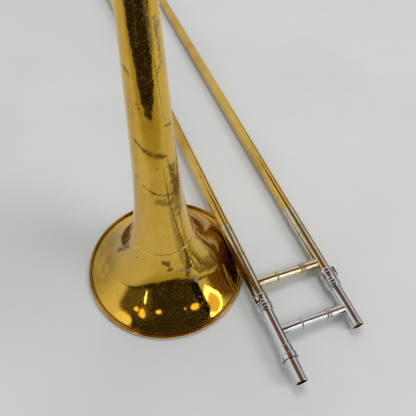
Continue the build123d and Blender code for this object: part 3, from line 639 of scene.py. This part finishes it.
@dataclass(frozen=True)
class BlackRubber(Finish):
    """Moulded black rubber, greyed by handling."""

    name: str = "rubber_black"
    black: Colour = (0.018, 0.018, 0.019)
    grey: Colour = (0.06, 0.058, 0.055)

    def paint(self, graph: Graph) -> None:
        """Write the nodes of the rubber.

        Args:
            graph: The material's graph.
        """
        place = graph.object_place()
        bloom = graph.noise(place, 220.0, 5.0, 0.65)
        colour = graph.mix(bloom.rise(0.4, 0.8), self.black, self.grey)
        self.surface(graph, Base_Color=colour, Roughness=0.55 + bloom * 0.2,
                     Normal=self.relief(graph, graph.noise(place, 1600.0, 2.0), 0.00006))


SEAM_HEIGHT = 0.080
BELL_STEM = LacqueredBrass(
    name="lacquered_brass_stem",
    solder=SEAM_HEIGHT,
    smudges=(
        Mark(((-0.011, -0.017, 0.226), (0.003, -0.020, 0.218)), 0.0034, 0.002),
        Mark(((-0.016, -0.015, 0.181), (-0.006, -0.022, 0.171), (0.009, -0.022, 0.166)), 0.0016, 0.001),
        Mark(((-0.004, -0.024, 0.161), (0.008, -0.024, 0.156)), 0.0045, 0.006),
        Mark(((0.012, -0.014, 0.205), (0.014, -0.022, 0.135)), 0.0050, 0.006),
        Mark(((0.002, -0.025, 0.190), (0.001, -0.025, 0.172)), 0.0010, 0.002),
    ),
    tarnish=(
        Mark(((-0.017, -0.009, 0.237), (-0.011, -0.016, 0.227)), 0.0019),
        Mark(((-0.008, -0.018, 0.224), (0.005, -0.020, 0.217)), 0.0014),
        Mark(((-0.020, -0.008, 0.190), (-0.010, -0.020, 0.173)), 0.0010),
        Mark(((-0.016, -0.005, 0.307), (-0.014, -0.009, 0.302)), 0.0017),
        Mark(((-0.012, -0.014, 0.276),), 0.0015),
        Mark(((-0.011, -0.014, 0.272),), 0.0013),
        Mark(((0.008, -0.018, 0.250), (0.014, -0.013, 0.247)), 0.0012),
        Mark(((-0.004, -0.022, 0.205),), 0.0015),
        Mark(((0.012, -0.018, 0.200), (0.014, -0.018, 0.165)), 0.0018, 0.003),
        Mark(((-0.006, -0.025, 0.160), (-0.008, -0.026, 0.140)), 0.0009, 0.002),
    ),
    verdigris=(
        Mark(((0.008, -0.013, 0.345), (0.010, -0.013, 0.310), (0.007, -0.015, 0.303)), 0.0015, 0.0016),
        Mark(((-0.005, -0.014, 0.362), (-0.006, -0.014, 0.325)), 0.0012, 0.001),
        Mark(((0.002, -0.015, 0.362), (0.003, -0.016, 0.322)), 0.0017, 0.001),
        Mark(((0.009, -0.013, 0.338),), 0.004, 0.003),
    ),
    creases=(
        Mark(((0.006, -0.020, 0.215), (0.007, -0.022, 0.165), (0.015, -0.024, 0.113), (0.019, -0.030, 0.080)),
             0.0016, 0.0003),
        Mark(((-0.020, -0.008, 0.190), (-0.010, -0.020, 0.173), (0.009, -0.022, 0.166)), 0.0012, 0.0003),
        Mark(((0.004, -0.015, 0.312), (0.006, -0.017, 0.262)), 0.0012, 0.0002),
    ),
)
BELL_FLARE = LacqueredBrass(
    name="lacquered_brass_flare",
    solder=SEAM_HEIGHT,
    # Painted shade line in the crevice inside the rim bead.
    crevice=0.0914,
    # Broad painted shade on the flare's left and right sides.
    shade=(
        Mark(((-0.078, 0.052, 0.008), (-0.088, 0.024, 0.006)), 0.055),
        Mark(((-0.036, 0.030, 0.050),), 0.030),
        Mark(((0.080, 0.012, 0.006), (0.070, -0.040, 0.006)), 0.045),
    ),
    tarnish=(
        Mark(((-0.011, -0.036, 0.071), (-0.006, -0.039, 0.066)), 0.0034, 0.003),
        Mark(((-0.007, -0.040, 0.060),), 0.0026, 0.003),
        Mark(((-0.030, -0.020, 0.066), (-0.024, -0.028, 0.064)), 0.0018, 0.003),
        Mark(((-0.035, -0.017, 0.066),), 0.0016),
        Mark(((-0.040, 0.004, 0.063), (-0.051, 0.021, 0.032)), 0.004, 0.004),
    ),
    bare=(
        Mark(((0.004, -0.043, 0.056), (0.016, -0.043, 0.048)), 0.0030, 0.004),
        Mark(((0.018, -0.048, 0.039), (0.022, -0.050, 0.034)), 0.0026, 0.002),
        Mark(((0.009, -0.047, 0.045),), 0.002, 0.003),
        Mark(((0.030, -0.030, 0.050), (0.034, -0.036, 0.036)), 0.002, 0.003),
    ),
    creases=(Mark(((0.019, -0.030, 0.080), (0.025, -0.041, 0.044)), 0.0018, 0.0004),),
)
BRASS = LacqueredBrass(gold=(0.80, 0.54, 0.135), deep=(0.50, 0.30, 0.040), spots=0.8, haze=0.9)


class Slot(Enum):
    """The record's material slots and the finish that each has by default."""

    LACQUERED_BRASS = "lacquered_brass"
    RAW_BRASS = "raw_brass"
    NICKEL_SILVER = "nickel_silver"
    CHROME_PLATE = "chrome_plate"
    STEEL = "steel"
    CORK = "cork"
    RUBBER = "rubber"

    def finish(self) -> Finish:
        """Look up the slot's finish.

        Returns:
            The finish.
        """
        return {
            Slot.LACQUERED_BRASS: BRASS, Slot.RAW_BRASS: BareBrass(), Slot.NICKEL_SILVER: NickelSilver(),
            Slot.CHROME_PLATE: ChromePlate(), Slot.STEEL: DrawnSteel(), Slot.CORK: NaturalCork(),
            Slot.RUBBER: BlackRubber(),
        }[self]


# ---- turned pieces
@dataclass(frozen=True)
class Turning:
    """A piece turned on a lathe: a closed profile round the piece's own Z axis.

    Attributes:
        name: The piece's name.
        profile: Radius and height of each corner of its section, in millimetres, in order round it.
        segments: How many flats stand for the circle.
        edge: Width of the small round on its edges, in millimetres.
        sharp: Corners past this many degrees are rounded.
        smooth: Corners under this many degrees are shaded smooth.
    """

    name: str
    profile: Profile
    segments: int = 72
    edge: float = 0.12
    sharp: float = 24.0
    smooth: float = 34.0

    def make(self, place: Matrix) -> bpy.types.Object:
        """Turn the piece and put it in its place.

        Args:
            place: The frame that its axis is the Z axis of.

        Returns:
            The finished piece, with its place in its mesh.
        """
        bpy.ops.object.select_all(action="DESELECT")
        first_radius, first_height = self.profile[0]
        bpy.ops.mesh.primitive_circle_add(
            vertices=self.segments, radius=first_radius * MM, fill_type="NOTHING")
        piece = bpy.context.object
        piece.name = self.name
        bpy.ops.object.mode_set(mode="EDIT")
        bpy.ops.mesh.select_all(action="SELECT")
        bpy.ops.transform.translate(value=(0.0, 0.0, first_height * MM))
        for (radius, height), (next_radius, next_height) in zip(
                self.profile, self.profile[1:] + self.profile[:1]):
            bpy.ops.mesh.extrude_edges_move(
                TRANSFORM_OT_translate={"value": (0.0, 0.0, (next_height - height) * MM)})
            growth = next_radius / radius
            bpy.ops.transform.resize(value=(growth, growth, 1.0), center_override=(0.0, 0.0, 0.0))
        bpy.ops.mesh.select_all(action="SELECT")
        bpy.ops.mesh.remove_doubles(threshold=MM / 200)
        bpy.ops.mesh.normals_make_consistent(inside=False)
        bpy.ops.object.mode_set(mode="OBJECT")
        rounding = piece.modifiers.new("rounding", "BEVEL")
        rounding.width = self.edge * MM
        rounding.segments = 2
        rounding.limit_method = "ANGLE"
        rounding.angle_limit = radians(self.sharp)
        bpy.ops.object.modifier_apply(modifier=rounding.name)
        bpy.ops.object.shade_smooth_by_angle(angle=radians(self.smooth))
        piece.matrix_world = place
        bpy.ops.object.transform_apply(location=True, rotation=True, scale=True)
        return piece


def joined(name: str, pieces: list[bpy.types.Object]) -> bpy.types.Object:
    """Join several pieces into one.

    Args:
        name: The new piece's name.
        pieces: The pieces, each already in its place.

    Returns:
        The joined piece.
    """
    bpy.ops.object.select_all(action="DESELECT")
    for piece in pieces:
        piece.select_set(True)
    bpy.context.view_layer.objects.active = pieces[0]
    bpy.ops.object.join()
    pieces[0].name = name
    return pieces[0]


@dataclass(frozen=True)
class SlideFrame:
    """The handslide's own axes, from the tenon and the mouthpiece socket of the record.

    Attributes:
        tenon_station: Where the tenon's mount is along the slide, in metres.
        spacing: Between the two tubes, in metres.
    """

    tenon_station: float = -0.17775
    spacing: float = 0.090

    def axes(self) -> tuple[Vector, Vector, Vector, Vector]:
        """Find the slide in the record's mounts.

        Returns:
            Its origin and its directions across, along and up.
        """
        mounts = {mount["name"]: mount for mount in frame["record"]["mounts"]}
        tenon = Vector(mounts["slide_tenon"]["pos_m"])
        along = -Vector(mounts["slide_tenon"]["axis"]).normalized()
        offset = Vector(mounts["mouthpiece_socket"]["pos_m"]) - tenon
        across = (offset - along * offset.dot(along)).normalized()
        return tenon - along * self.tenon_station, across, along, across.cross(along)

    def tube(self, upper: bool) -> Matrix:
        """Find the frame of a tube.

        Args:
            upper: True for the tube that takes the mouthpiece.

        Returns:
            The frame, with Z along the tube towards the bow.
        """
        origin, across, along, up = self.axes()
        start = origin + across * (self.spacing if upper else 0.0)
        return Matrix.Translation(start) @ Matrix((across, -up, along)).transposed().to_4x4()

    def brace(self, station: float) -> Matrix:
        """Find the frame of a brace.

        Args:
            station: Where the brace crosses the slide, in metres.

        Returns:
            The frame, with Z along the brace from the lower tube to the upper.
        """
        origin, across, along, up = self.axes()
        start = origin + along * station
        return Matrix.Translation(start) @ Matrix((along, up, across)).transposed().to_4x4()


# ---- sub-assemblies
@dataclass
class Assembly:
    """One CAD body: it builds what stands proud of its nodes, and dresses them.

    Attributes:
        body: The body's name.
        special: Nodes with a finish of their own.
    """

    body: str
    special: dict[str, Finish] = field(default_factory=dict)

    def dress(self) -> None:
        """Give every node of the body its finish."""
        slots = {row["node"]: Slot(row["material_slot"]) for row in frame["record"]["subparts"]}
        for name, node in frame["nodes"].items():
            if node["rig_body"] == self.body:
                finish = self.special.get(name) or slots[name].finish()
                node.data.materials.clear()
                node.data.materials.append(finish.material())
                LOG.info("%s: %s", name, finish.name)

    def build(self) -> None:
        """Model what the body needs beyond its nodes; a plain body needs nothing."""

    def add(self, piece: bpy.types.Object, slot: Slot, *nodes: str) -> None:
        """Finish a new piece and hand it to the body.

        Args:
            piece: The piece, in its place.
            slot: The record's slot that it is painted from.
            nodes: CAD nodes that it stands for.
        """
        piece.data.materials.clear()
        piece.data.materials.append(slot.finish().material())
        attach(piece, self.body)
        if nodes:
            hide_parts(*nodes)
        LOG.info("%s: %d faces", piece.name, len(piece.data.polygons))


@dataclass
class BellSection(Assembly):
    """Bell, neckpipe, receiver and braces.

    Attributes:
        roll: Section of the raised roll just inside the rim bead.
    """

    body: str = "bell_section"
    roll: Profile = (
        (91.05, 1.55), (91.02, 2.05), (90.75, 2.42), (90.35, 2.60), (89.95, 2.58), (89.62, 2.30),
        (90.2, 1.75),
    )

    def build(self) -> None:
        """Turn the roll that the spun rim leaves inside its bead."""
        roll = Turning("rim_roll", self.roll, segments=180, edge=0.08).make(Matrix.Identity(4))
        self.add(roll, Slot.LACQUERED_BRASS)


@dataclass
class Braced(Assembly):
    """A body with a cross brace that has three beads on it.

    Attributes:
        brace: The brace's name.
        station: Where it crosses the slide, in metres.
        radius: Its radius, in millimetres.
        beads: Where its beads are, from the lower tube's axis, in millimetres.
        half_bead: How far a bead stands proud, and its half length there, in millimetres.
        slot: The record's slot of its metal.
        axes: The slide's axes.
    """

    brace: str = "hand_brace"
    station: float = -0.0695
    radius: float = 6.4
    beads: tuple[float, ...] = (30.1, 62.9, 66.5)
    half_bead: Profile = ((-0.15, 1.40), (0.25, 1.35), (0.74, 0.98), (1.0, 0.38))
    slot: Slot = Slot.NICKEL_SILVER
    axes: SlideFrame = SlideFrame()

    def bead(self) -> Profile:
        """Mirror the half bead.

        Returns:
            The section of a bead, about its own middle.
        """
        rising = tuple((self.radius + proud, -reach) for proud, reach in self.half_bead)
        falling = tuple((self.radius + proud, reach) for proud, reach in reversed(self.half_bead))
        return rising + falling

    def build(self) -> None:
        """Turn the brace's beads."""
        place = self.axes.brace(self.station)
        bead = Turning(f"{self.brace}_bead", self.bead())
        made = [bead.make(place @ Matrix.Translation((0, 0, middle * MM))) for middle in self.beads]
        self.add(joined(f"{self.brace}_beads", made), self.slot)


@dataclass
class InnerSlide(Braced):
    """Inner tubes, cork barrels, chromed sleeves and their brace.

    Attributes:
        mouth: Where the barrels' mouths are, in metres.
        barrel: Section of a cork barrel, from its mouth back.
    """

    body: str = "inner_slide"
    brace: str = "inner_brace"
    station: float = -0.1327
    radius: float = 5.8
    slot: Slot = Slot.CHROME_PLATE
    mouth: float = -0.086
    barrel: Profile = (
        (8.30, 0.0), (8.85, 0.0), (9.20, -0.35), (9.42, -0.95), (9.45, -1.7), (9.25, -2.4), (9.05, -2.8),
        (9.05, -3.3), (9.10, -6.0), (9.25, -8.6), (9.45, -9.4), (9.42, -10.1), (9.0, -10.6), (8.85, -11.0),
        (8.95, -11.5), (9.45, -12.0), (9.68, -12.8), (9.68, -13.7), (9.42, -14.5), (8.8, -15.0),
        (8.75, -15.5), (9.3, -15.9), (9.62, -16.6), (9.62, -17.5), (9.3, -18.2), (8.65, -18.6),
        (8.6, -19.0), (8.95, -19.3), (9.05, -19.8), (8.8, -20.4), (8.1, -20.9), (7.35, -21.0),
        (7.35, -19.0), (8.30, -19.0),
    )

    def build(self) -> None:
        """Turn the ribbed barrels and the brace's beads."""
        super().build()
        for side, upper in (("lower", False), ("upper", True)):
            place = self.axes.tube(upper) @ Matrix.Translation((0, 0, self.mouth))
            made = Turning(f"cork_barrel_{side}_ribbed", self.barrel).make(place)
            self.add(made, self.slot, f"cork_barrel_{side}")


# ---- studio
@dataclass(frozen=True)
class Glow:
    """A patch of the room that the metal reflects.

    Attributes:
        turn: Its direction round +Z from +X, in degrees.
        height: Its height above the horizon, in degrees.
        half_width: Half its width, as a slope.
        half_height: Half its height, as a slope.
        colour: Its light.
        edge: Width of its soft edge, as a share of its size.
        square: True for a rectangle, False for an ellipse.
        hollow: Share of its size that is open in the middle.
    """

    turn: float
    height: float
    half_width: float
    half_height: float
    colour: Colour
    edge: float = 0.2
    square: bool = False
    hollow: float = 0.0

    def paint(self, graph: Graph, ray: Wire, behind: Any) -> Wire:
        """Lay the patch over what is behind it.

        Args:
            graph: The world's graph.
            ray: Direction looked in.
            behind: Colour so far.

        Returns:
            The colour with this patch over it.
        """
        turned, raised = radians(self.turn), radians(self.height)
        ahead = (cos(raised) * cos(turned), cos(raised) * sin(turned), sin(raised))
        across = (-sin(turned), cos(turned), 0.0)
        upward = (-sin(raised) * cos(turned), -sin(raised) * sin(turned), cos(raised))
        depth = graph.measure("DOT_PRODUCT", ray, ahead)
        x = graph.measure("DOT_PRODUCT", ray, across) / depth.most(0.01) / self.half_width
        y = graph.measure("DOT_PRODUCT", ray, upward) / depth.most(0.01) / self.half_height
        if self.square:
            reach = x.size().most(y.size())
        else:
            reach = (x * x + y * y) ** 0.5
        mask = reach.rise(1.0 + self.edge / 2, 1.0 - self.edge / 2) * depth.rise(0.0, 0.05)
        if self.hollow:
            mask = mask * reach.rise(self.hollow - self.edge / 2, self.hollow + self.edge / 2)
        return graph.mix(mask, behind, self.colour)


@dataclass(frozen=True)
class Room:
    """What stands round the table: pale walls behind, a dark room and lamps in front, a brown ceiling.

    Attributes:
        fill: The even light that falls on everything matt.
        wall: The pale walls as the metal mirrors them.
        glows: What the metal mirrors in front of the walls, from the back forwards: the ceiling, the
            dark room, its furniture and a window, then the lamps.
    """

    fill: Colour = (0.45, 0.457, 0.452)
    wall: Colour = (0.66, 0.66, 0.64)
    glows: tuple[Glow, ...] = (
        Glow(90, 88, 0.70, 0.70, (0.17, 0.075, 0.045), 0.15),
        Glow(-105, 22, 1.25, 1.4, (0.030, 0.026, 0.022), 0.2, True),
        Glow(-12, 16, 0.42, 0.55, (0.16, 0.09, 0.035), 0.5),
        Glow(-157, 6, 0.40, 0.66, (0.10, 0.085, 0.05), 0.45, True),
        Glow(162, 38, 0.30, 0.42, (0.72, 0.72, 0.68), 0.35),
        Glow(20, 4, 0.36, 0.16, (0.012, 0.010, 0.008), 0.6, True),
        Glow(30, 17, 0.30, 0.14, (0.20, 0.16, 0.10), 0.8),
        Glow(-173, 45, 0.12, 0.15, (1.08, 1.02, 0.85), 0.6),
        Glow(-147.5, 32, 0.07, 0.14, (1.6, 1.2, 0.35), 0.6),
        Glow(-156, 26, 0.05, 0.06, (1.4, 1.1, 0.3), 0.6),
        Glow(-123, 27.5, 0.055, 0.06, (1.6, 1.2, 0.35), 0.6),
        Glow(-67.5, 30, 0.10, 0.09, (1.7, 1.3, 0.4), 0.6),
        Glow(-84, 30, 0.028, 0.03, (1.1, 0.8, 0.25), 0.6),
        Glow(-145, 10, 0.04, 0.12, (2.0, 2.6, 2.4), 0.9),
    )

    def build(self) -> None:
        """Make the world."""
        world = bpy.data.worlds.new("room")
        bpy.context.scene.world = world
        world.use_nodes = True
        graph = Graph(world.node_tree)
        ray = graph.node("ShaderNodeTexCoord", {}, {}, "Generated")
        colour: Any = self.wall
        for glow in self.glows:
            colour = glow.paint(graph, ray, colour)
        mirrored = graph.node("ShaderNodeLightPath", {}, {}, "Is Glossy Ray")
        colour = graph.mix(mirrored, self.fill, colour)
        light = graph.node("ShaderNodeBackground", {}, {"Color": colour, "Strength": 1.0})
        graph.node("ShaderNodeOutputWorld", {}, {"Surface": light})


@dataclass(frozen=True)
class PaleFloor(Finish):
    """Matt white table top with faint clouding, and a painted shadow on the left.

    Attributes:
        pale: Its lighter colour.
        clouded: Its darker colour.
        painted_shadow_colour: Colour of the painted shadow where it is darkest.
        painted_shadow_start: One end of the painted shadow's stretch.
        painted_shadow_end: The other end.
        painted_shadow_reach: How far the painted shadow spreads, in metres.
    """

    name: str = "floor_pale"
    pale: Colour = (0.77, 0.78, 0.775)
    clouded: Colour = (0.72, 0.73, 0.73)
    painted_shadow_colour: Colour = (0.50, 0.505, 0.505)
    painted_shadow_start: Point = (-0.34, 0.10, 0.0)
    painted_shadow_end: Point = (-0.16, 0.06, 0.0)
    painted_shadow_reach: float = 0.16

    def paint(self, graph: Graph) -> None:
        """Write the nodes of the floor.

        Args:
            graph: The material's graph.
        """
        place = graph.object_place()
        cloud = graph.noise(place, 3.0, 4.0, 0.55)
        colour = graph.mix(cloud.rise(0.3, 0.7), self.pale, self.clouded)
        # Painted shadow: the floor darkens near a line on its left.
        painted_shadow_mask = graph.near_line(place, self.painted_shadow_start, self.painted_shadow_end).rise(self.painted_shadow_reach, 0.0)
        colour = graph.mix(painted_shadow_mask * 0.35, colour, self.painted_shadow_colour)
        self.surface(graph, Base_Color=colour, Roughness=0.75)


@dataclass(frozen=True)
class TableEdge(Finish):
    """The table's front edge as the metal mirrors it: the light fails towards it, and beyond it is dark.

    Attributes:
        start: A point on the edge.
        outward: Direction away from the table.
        black: Darkest colour beyond the edge.
        brown: Lightest colour beyond it.
        olive: What the light is tinted to just before it.
    """

    start: Point
    outward: Point
    name: str = "table_edge"
    black: Colour = (0.012, 0.010, 0.008)
    brown: Colour = (0.05, 0.035, 0.02)
    # olive: Colour of the painted shade that the sheet lays over the floor just before the edge.
    olive: Colour = (0.70, 0.63, 0.28)

    def paint(self, graph: Graph) -> None:
        """Write the nodes of the edge.

        Args:
            graph: The material's graph.
        """
        place = graph.object_place()
        beyond = graph.measure("DOT_PRODUCT", graph.vector("SUBTRACT", place, self.start), self.outward)
        shade = graph.mix(graph.noise(place, 6.0), self.black, self.brown)
        dark = graph.node("ShaderNodeBsdfDiffuse", {}, {"Color": shade})
        # Painted shade: the floor seen through the sheet is tinted darker towards the edge.
        painted_shade_tint = graph.mix(beyond.rise(-0.19, -0.07), (1.0, 1.0, 1.0), self.olive)
        clear = graph.node("ShaderNodeBsdfTransparent", {}, {"Color": painted_shade_tint})
        over = graph.node("ShaderNodeMixShader", {}, {0: beyond.rise(-0.004, 0.004), 1: clear, 2: dark})
        graph.node("ShaderNodeOutputMaterial", {}, {"Surface": over})


@dataclass(frozen=True)
class LitCloth(Finish):
    """Cloth with a lamp behind it, brighter towards its rim.

    Attributes:
        name: The material's name.
        middle: The cloth's middle.
        lamp: Light of its middle.
        rim: Light of its rim.
    """

    name: str
    middle: Point
    lamp: Colour
    rim: Colour

    def paint(self, graph: Graph) -> None:
        """Write the nodes of the cloth.

        Args:
            graph: The material's graph.
        """
        offset = graph.vector("SUBTRACT", graph.object_place(), self.middle)
        scaled = graph.measure("LENGTH", graph.vector("MULTIPLY", offset, (8.0, 8.0, 2.7)))
        colour = graph.mix(scaled.rise(0.62, 0.80), self.lamp, self.rim)
        light = graph.node("ShaderNodeEmission", {}, {"Color": colour, "Strength": 1.0})
        graph.node("ShaderNodeOutputMaterial", {}, {"Surface": light})


@dataclass(frozen=True)
class Reflector:
    """An upright lit cloth that only the metal sees.

    Attributes:
        name: The piece's name.
        faced: The point that it faces.
        turn: Its direction from there round +Z from +X, in degrees.
        away: Its distance from there, in metres.
        rise: Its middle above there, in metres.
        size: What its outline is scaled by, across and up, in metres.
        lamp: Light of its middle.
        rim: Light of its rim.
        rounded: True for an oval outline, False for a rectangle.
    """

    name: str
    faced: Point
    turn: float
    away: float
    rise: float
    size: tuple[float, float]
    lamp: Colour
    rim: Colour
    rounded: bool = False

    def stand(self) -> bpy.types.Object:
        """Stand the cloth in its place.

        Returns:
            The piece.
        """
        if self.rounded:
            bpy.ops.mesh.primitive_circle_add(vertices=48, radius=1.0, fill_type="NGON")
        else:
            bpy.ops.mesh.primitive_plane_add(size=1.0)
        piece = bpy.context.object
        piece.name = self.name
        turned = radians(self.turn)
        facing = Vector((cos(turned), sin(turned), 0.0))
        across = Vector((-sin(turned), cos(turned), 0.0))
        upright = Matrix((across, Vector((0, 0, 1)), -facing)).transposed().to_4x4()
        middle = Vector(self.faced) + facing * self.away + Vector((0, 0, self.rise))
        piece.data.transform(Matrix.Translation(middle) @ upright @ Matrix.Diagonal((*self.size, 1.0, 1.0)))
        cloth = LitCloth(f"{self.name}_cloth", tuple(middle), self.lamp, self.rim)
        piece.data.materials.append(cloth.material())
        mirrored_only(piece)
        return piece


@dataclass(frozen=True)
class SoftLight:
    """A round soft light that the metal doesn't mirror.

    Attributes:
        name: Its name.
        turn: Its direction round +Z from +X, in degrees.
        height: Its height above the horizon, in degrees.
        power: Its power, in watts.
        distance: From the origin, in metres.
        size: Its diameter, in metres.
    """

    name: str
    turn: float
    height: float
    power: float
    distance: float = 4.0
    size: float = 1.7

    def hang(self) -> None:
        """Hang the light, facing the origin."""
        turned, raised = radians(self.turn), radians(self.height)
        towards = Vector((cos(raised) * cos(turned), cos(raised) * sin(turned), sin(raised)))
        place = towards * self.distance
        light = bpy.data.lights.new(self.name, "AREA")
        light.shape = "DISK"
        light.size = self.size
        light.energy = self.power
        lamp = bpy.data.objects.new(self.name, light)
        lamp.location = place
        lamp.rotation_mode = "QUATERNION"
        lamp.rotation_quaternion = (-place).to_track_quat("-Z", "Y")
        lamp.visible_glossy = False
        bpy.context.scene.collection.objects.link(lamp)


def mirrored_only(piece: bpy.types.Object) -> None:
    """Keep a piece of the studio out of sight, except in the metal.

    Args:
        piece: The piece.
    """
    piece.visible_camera = False
    piece.visible_diffuse = False
    piece.visible_shadow = False


@dataclass
class Studio:
    """Floor, table edge, umbrella, side card, lights, camera and room.

    Attributes:
        reach: Half the floor's side, in metres.
        edge_point: A point on the table's front edge.
        edge_turn: Direction of that edge, in degrees from +X.
        edge_size: Width and depth of the dark sheet beyond the edge, in metres.
        edge_fade: How far the sheet reaches back over the table, in metres.
        umbrella: The lit umbrella: a bright rim round a yellower middle.
        side_card: The narrow white card that lights the slide's braces alone.
        lights: The key light, to the right and in front, and the softer one overhead.
        camera_place: Where the camera is.
        camera_aim: The point on the floor that it looks at.
        camera_roll: Its turn about its own line of sight, in degrees.
        camera_lens: Its focal length on its sensor, in millimetres.
        sensor: The width of its sensor, in millimetres.
    """

    reach: float = 4.0
    edge_point: Point = (-0.25, -0.295, 0.0)
    edge_turn: float = -13.7
    edge_size: tuple[float, float] = (12.0, 8.0)
    edge_fade: float = 0.25
    umbrella: Reflector = Reflector(
        "umbrella", (0.05, -0.075, 0.01), -41, 0.60, 0.48, (0.125, 0.37),
        (1.0, 0.72, 0.25), (3.4, 3.4, 3.3), rounded=True)
    side_card: Reflector = Reflector(
        "side_card", (0.13, -0.10, 0.0), -66.5, 0.35, 0.29, (0.12, 0.54),
        (0.95, 0.95, 0.93), (1.0, 1.0, 0.98))
    lights: tuple[SoftLight, ...] = (SoftLight("key", -41, 42, 36.0), SoftLight("overhead", 70, 74, 40.0))
    camera_place: Point = (-0.06613, -0.29601, 0.52945)
    camera_aim: Point = (0.07939, 0.06315, 0.0)
    camera_roll: float = 0.967
    camera_lens: float = 42.17
    sensor: float = 36.0

    def floor(self) -> None:
        """Lay the pale floor just under what stands on it."""
        low = min(CAD_BOX[0][2], 0.0)
        bpy.ops.mesh.primitive_plane_add(size=2 * self.reach, location=(0, 0, low - 0.0002))
        floor = bpy.context.object
        floor.name = "floor"
        floor.data.materials.append(PaleFloor().material())

    def table_edge(self) -> None:
        """Lay the table's front edge, and the dark beyond it, for reflections only."""
        width, depth = self.edge_size
        bpy.ops.mesh.primitive_plane_add(size=1.0)
        edge = bpy.context.object
        edge.name = "table_edge"
        turn = Matrix.Rotation(radians(self.edge_turn), 4, "Z")
        beyond = Matrix.Translation((0, self.edge_fade - depth / 2, 0.0004))
        edge.data.transform(
            Matrix.Translation(self.edge_point) @ turn @ beyond @ Matrix.Diagonal((width, depth, 1, 1)))
        outward = turn @ Vector((0, -1, 0))
        edge.data.materials.append(TableEdge(self.edge_point, tuple(outward)).material())
        mirrored_only(edge)

    def light_braces(self) -> None:
        """Stand the side card, and let it light the slide's braces and no other piece."""
        card = self.side_card.stand()
        lit = bpy.data.collections.new("braces")
        for name, node in frame["nodes"].items():
            if name.startswith(("hand_brace", "inner_brace")):
                lit.objects.link(node)
        for name in ("hand_brace_beads", "inner_brace_beads"):
            lit.objects.link(bpy.data.objects[name])
        card.light_linking.receiver_collection = lit

    def camera(self) -> None:
        """Stand the camera over the table."""
        data = bpy.data.cameras.new("camera")
        data.lens = self.camera_lens
        data.sensor_width = self.sensor
        data.clip_start = 0.02
        data.clip_end = 30.0
        camera = bpy.data.objects.new("camera", data)
        sight = Vector(self.camera_aim) - Vector(self.camera_place)
        camera.location = self.camera_place
        camera.rotation_mode = "QUATERNION"
        camera.rotation_quaternion = (
            sight.to_track_quat("-Z", "Y") @ Quaternion((0, 0, 1), radians(self.camera_roll)))
        bpy.context.scene.collection.objects.link(camera)
        bpy.context.scene.camera = camera

    def build(self) -> None:
        """Set up the whole studio."""
        self.floor()
        self.table_edge()
        self.umbrella.stand()
        self.light_braces()
        for light in self.lights:
            light.hang()
        self.camera()
        Room().build()
        bpy.context.scene.view_settings.view_transform = "Standard"


def main() -> None:
    """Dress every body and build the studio."""
    logging.basicConfig(level=logging.INFO)
    bpy.ops.object.select_all(action="DESELECT")
    assemblies = (
        BellSection(special={"bell_stem": BELL_STEM, "bell_flare": BELL_FLARE}),
        Assembly("tuning_slide"),
        InnerSlide(),
        Assembly("lock_ring"),
        Braced("outer_slide"),
        Assembly("slide_lock"),
        Assembly("water_key"),
    )
    for assembly in assemblies:
        assembly.build()
        assembly.dress()
    Studio().build()


if __name__ == "__main__":
    main()
